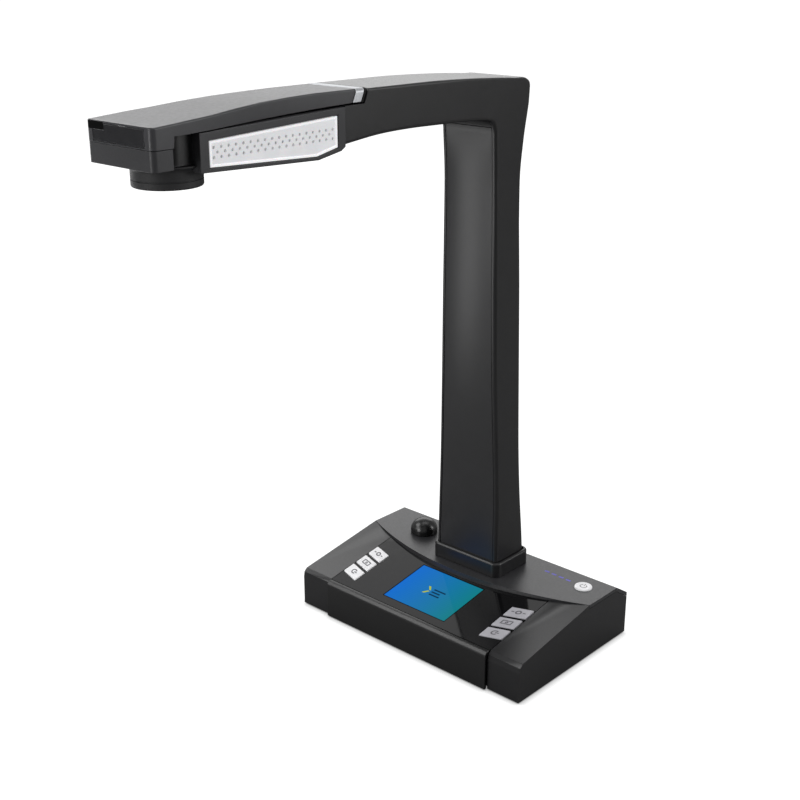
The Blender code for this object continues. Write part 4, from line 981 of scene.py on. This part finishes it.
def lens():
    """Blackened, stepped bezel that swallows stray light, round the domed front glass."""
    low, high = span("lens_bezel")
    profile = [(BEZEL_RADIUS, high.z), (BEZEL_RADIUS, low.z)]
    for step in range(BEZEL_STEPS):
        radius, deeper = BEZEL_FRONT - BEZEL_STEP[0] * step, low.z + BEZEL_STEP[1] * step
        profile += [(radius, deeper), (radius - 0.6, deeper + 0.5)]
    profile += [(BEZEL_HOLE, low.z + 2.6), (BEZEL_HOLE, high.z)]
    piece("stepped_bezel", turned(profile, 96, (0, LENS_Y)), "socket_shell", ["lens_bezel"],
          slot="shell_plastic")
    low, high = span("lens_glass")
    curve = [(LENS_RADIUS * t, low.z + LENS_BULGE * t * t) for t in spread(0, 1, 12)]
    piece("front_element", turned(curve + [(LENS_RADIUS, high.z), (0, high.z)], 96, (0, LENS_Y)),
          "lens_glass", ["lens_glass"])


# ---- studio

def white_paper(tree, place):
    """Backdrop paper: looks pure white but for a thin contact shade, and is dimmer as a light."""
    seen = add(tree, "LightPath")
    paper = add(tree, "BsdfDiffuse", {"Color": FLOOR_SEEN})
    open_floor = add(tree, "AmbientOcclusion", {"Distance": CONTACT * MM}, samples=8)
    glow = add(tree, "Emission", {"Color": WHITE}, {"Strength": open_floor.outputs["AO"]})
    bright = add(tree, "AddShader", links={0: paper.outputs[0], 1: glow.outputs[0]})
    dim = add(tree, "BsdfDiffuse", {"Color": FLOOR_LIGHT})
    return add(tree, "MixShader", links={0: seen.outputs["Is Camera Ray"], 1: dim.outputs[0],
                                         2: bright.outputs[0]})


def floor():
    """Wide sheet of paper under the object."""
    sheet = bpy.data.meshes.new("floor")
    reach = FLOOR_REACH
    sheet.from_pydata([(-reach, -reach, 0), (reach, -reach, 0), (reach, reach, 0), (-reach, reach, 0)], [],
                      [(0, 1, 2, 3)])
    item = bpy.data.objects.new("floor", sheet)
    bpy.context.scene.collection.objects.link(item)
    sheet.materials.append(finish("white_paper_floor", white_paper))


def room():
    """White walls, dimmer as a light than they look."""
    world = bpy.data.worlds.new("studio")
    bpy.context.scene.world = world
    world.use_nodes = True
    tree = world.node_tree
    tree.nodes.clear()
    seen = add(tree, "LightPath")
    white = add(tree, "Background", {"Color": WHITE, "Strength": 1.0})
    dim = add(tree, "Background", {"Color": WHITE, "Strength": ROOM_LIGHT})
    both = add(tree, "MixShader", links={0: seen.outputs["Is Camera Ray"], 1: dim.outputs[0],
                                         2: white.outputs[0]})
    add(tree, "OutputWorld", links={"Surface": both.outputs[0]})


def softboxes():
    """Large soft lights that face the object, unseen by the camera."""
    for name, direction, distance, size, radiance in SOFTBOXES:
        light = bpy.data.lights.new(name, "AREA")
        light.shape = "RECTANGLE"
        light.size, light.size_y = size
        light.energy = radiance * math.pi * size[0] * size[1]
        lamp = bpy.data.objects.new(name, light)
        bpy.context.scene.collection.objects.link(lamp)
        way = Vector(direction).normalized()
        lamp.location = Vector(AIM) + way * distance
        lamp.rotation_euler = way.to_track_quat("Z", "Y").to_euler()
        lamp.visible_camera = False


def camera():
    """A view from above the front right corner, everything in focus."""
    data = bpy.data.cameras.new("camera")
    data.sensor_width = CAMERA_SENSOR
    data.lens = CAMERA_LENS
    data.clip_start = 0.01
    data.clip_end = 100.0
    item = bpy.data.objects.new("camera", data)
    bpy.context.scene.collection.objects.link(item)
    item.location = CAMERA_AT
    item.rotation_euler = (math.pi / 2 - CAMERA_DROP, 0, CAMERA_TURN)
    bpy.context.scene.camera = item


def carried_over():
    """Give every CAD node that is still shown the finish of its slot."""
    for row in frame["record"]["subparts"]:
        materials = frame["nodes"][row["node"]].data.materials
        chosen = FINISHES["lamp_board" if "led_board" in row["node"] else row["material_slot"]]
        if materials:
            materials[0] = chosen
        else:
            materials.append(chosen)


bpy.context.scene.view_settings.view_transform = "Standard"
camera()
floor()
room()
softboxes()
carried_over()
end_caps()
flat_casings()
panel_seals()
feet()
screen()
keys()
power_button()
brightness_knob()
sockets()
column_and_arm()
collar()
trim_ring()
head()
scallop_shade_sheets()
lights()
barrel()
lens()
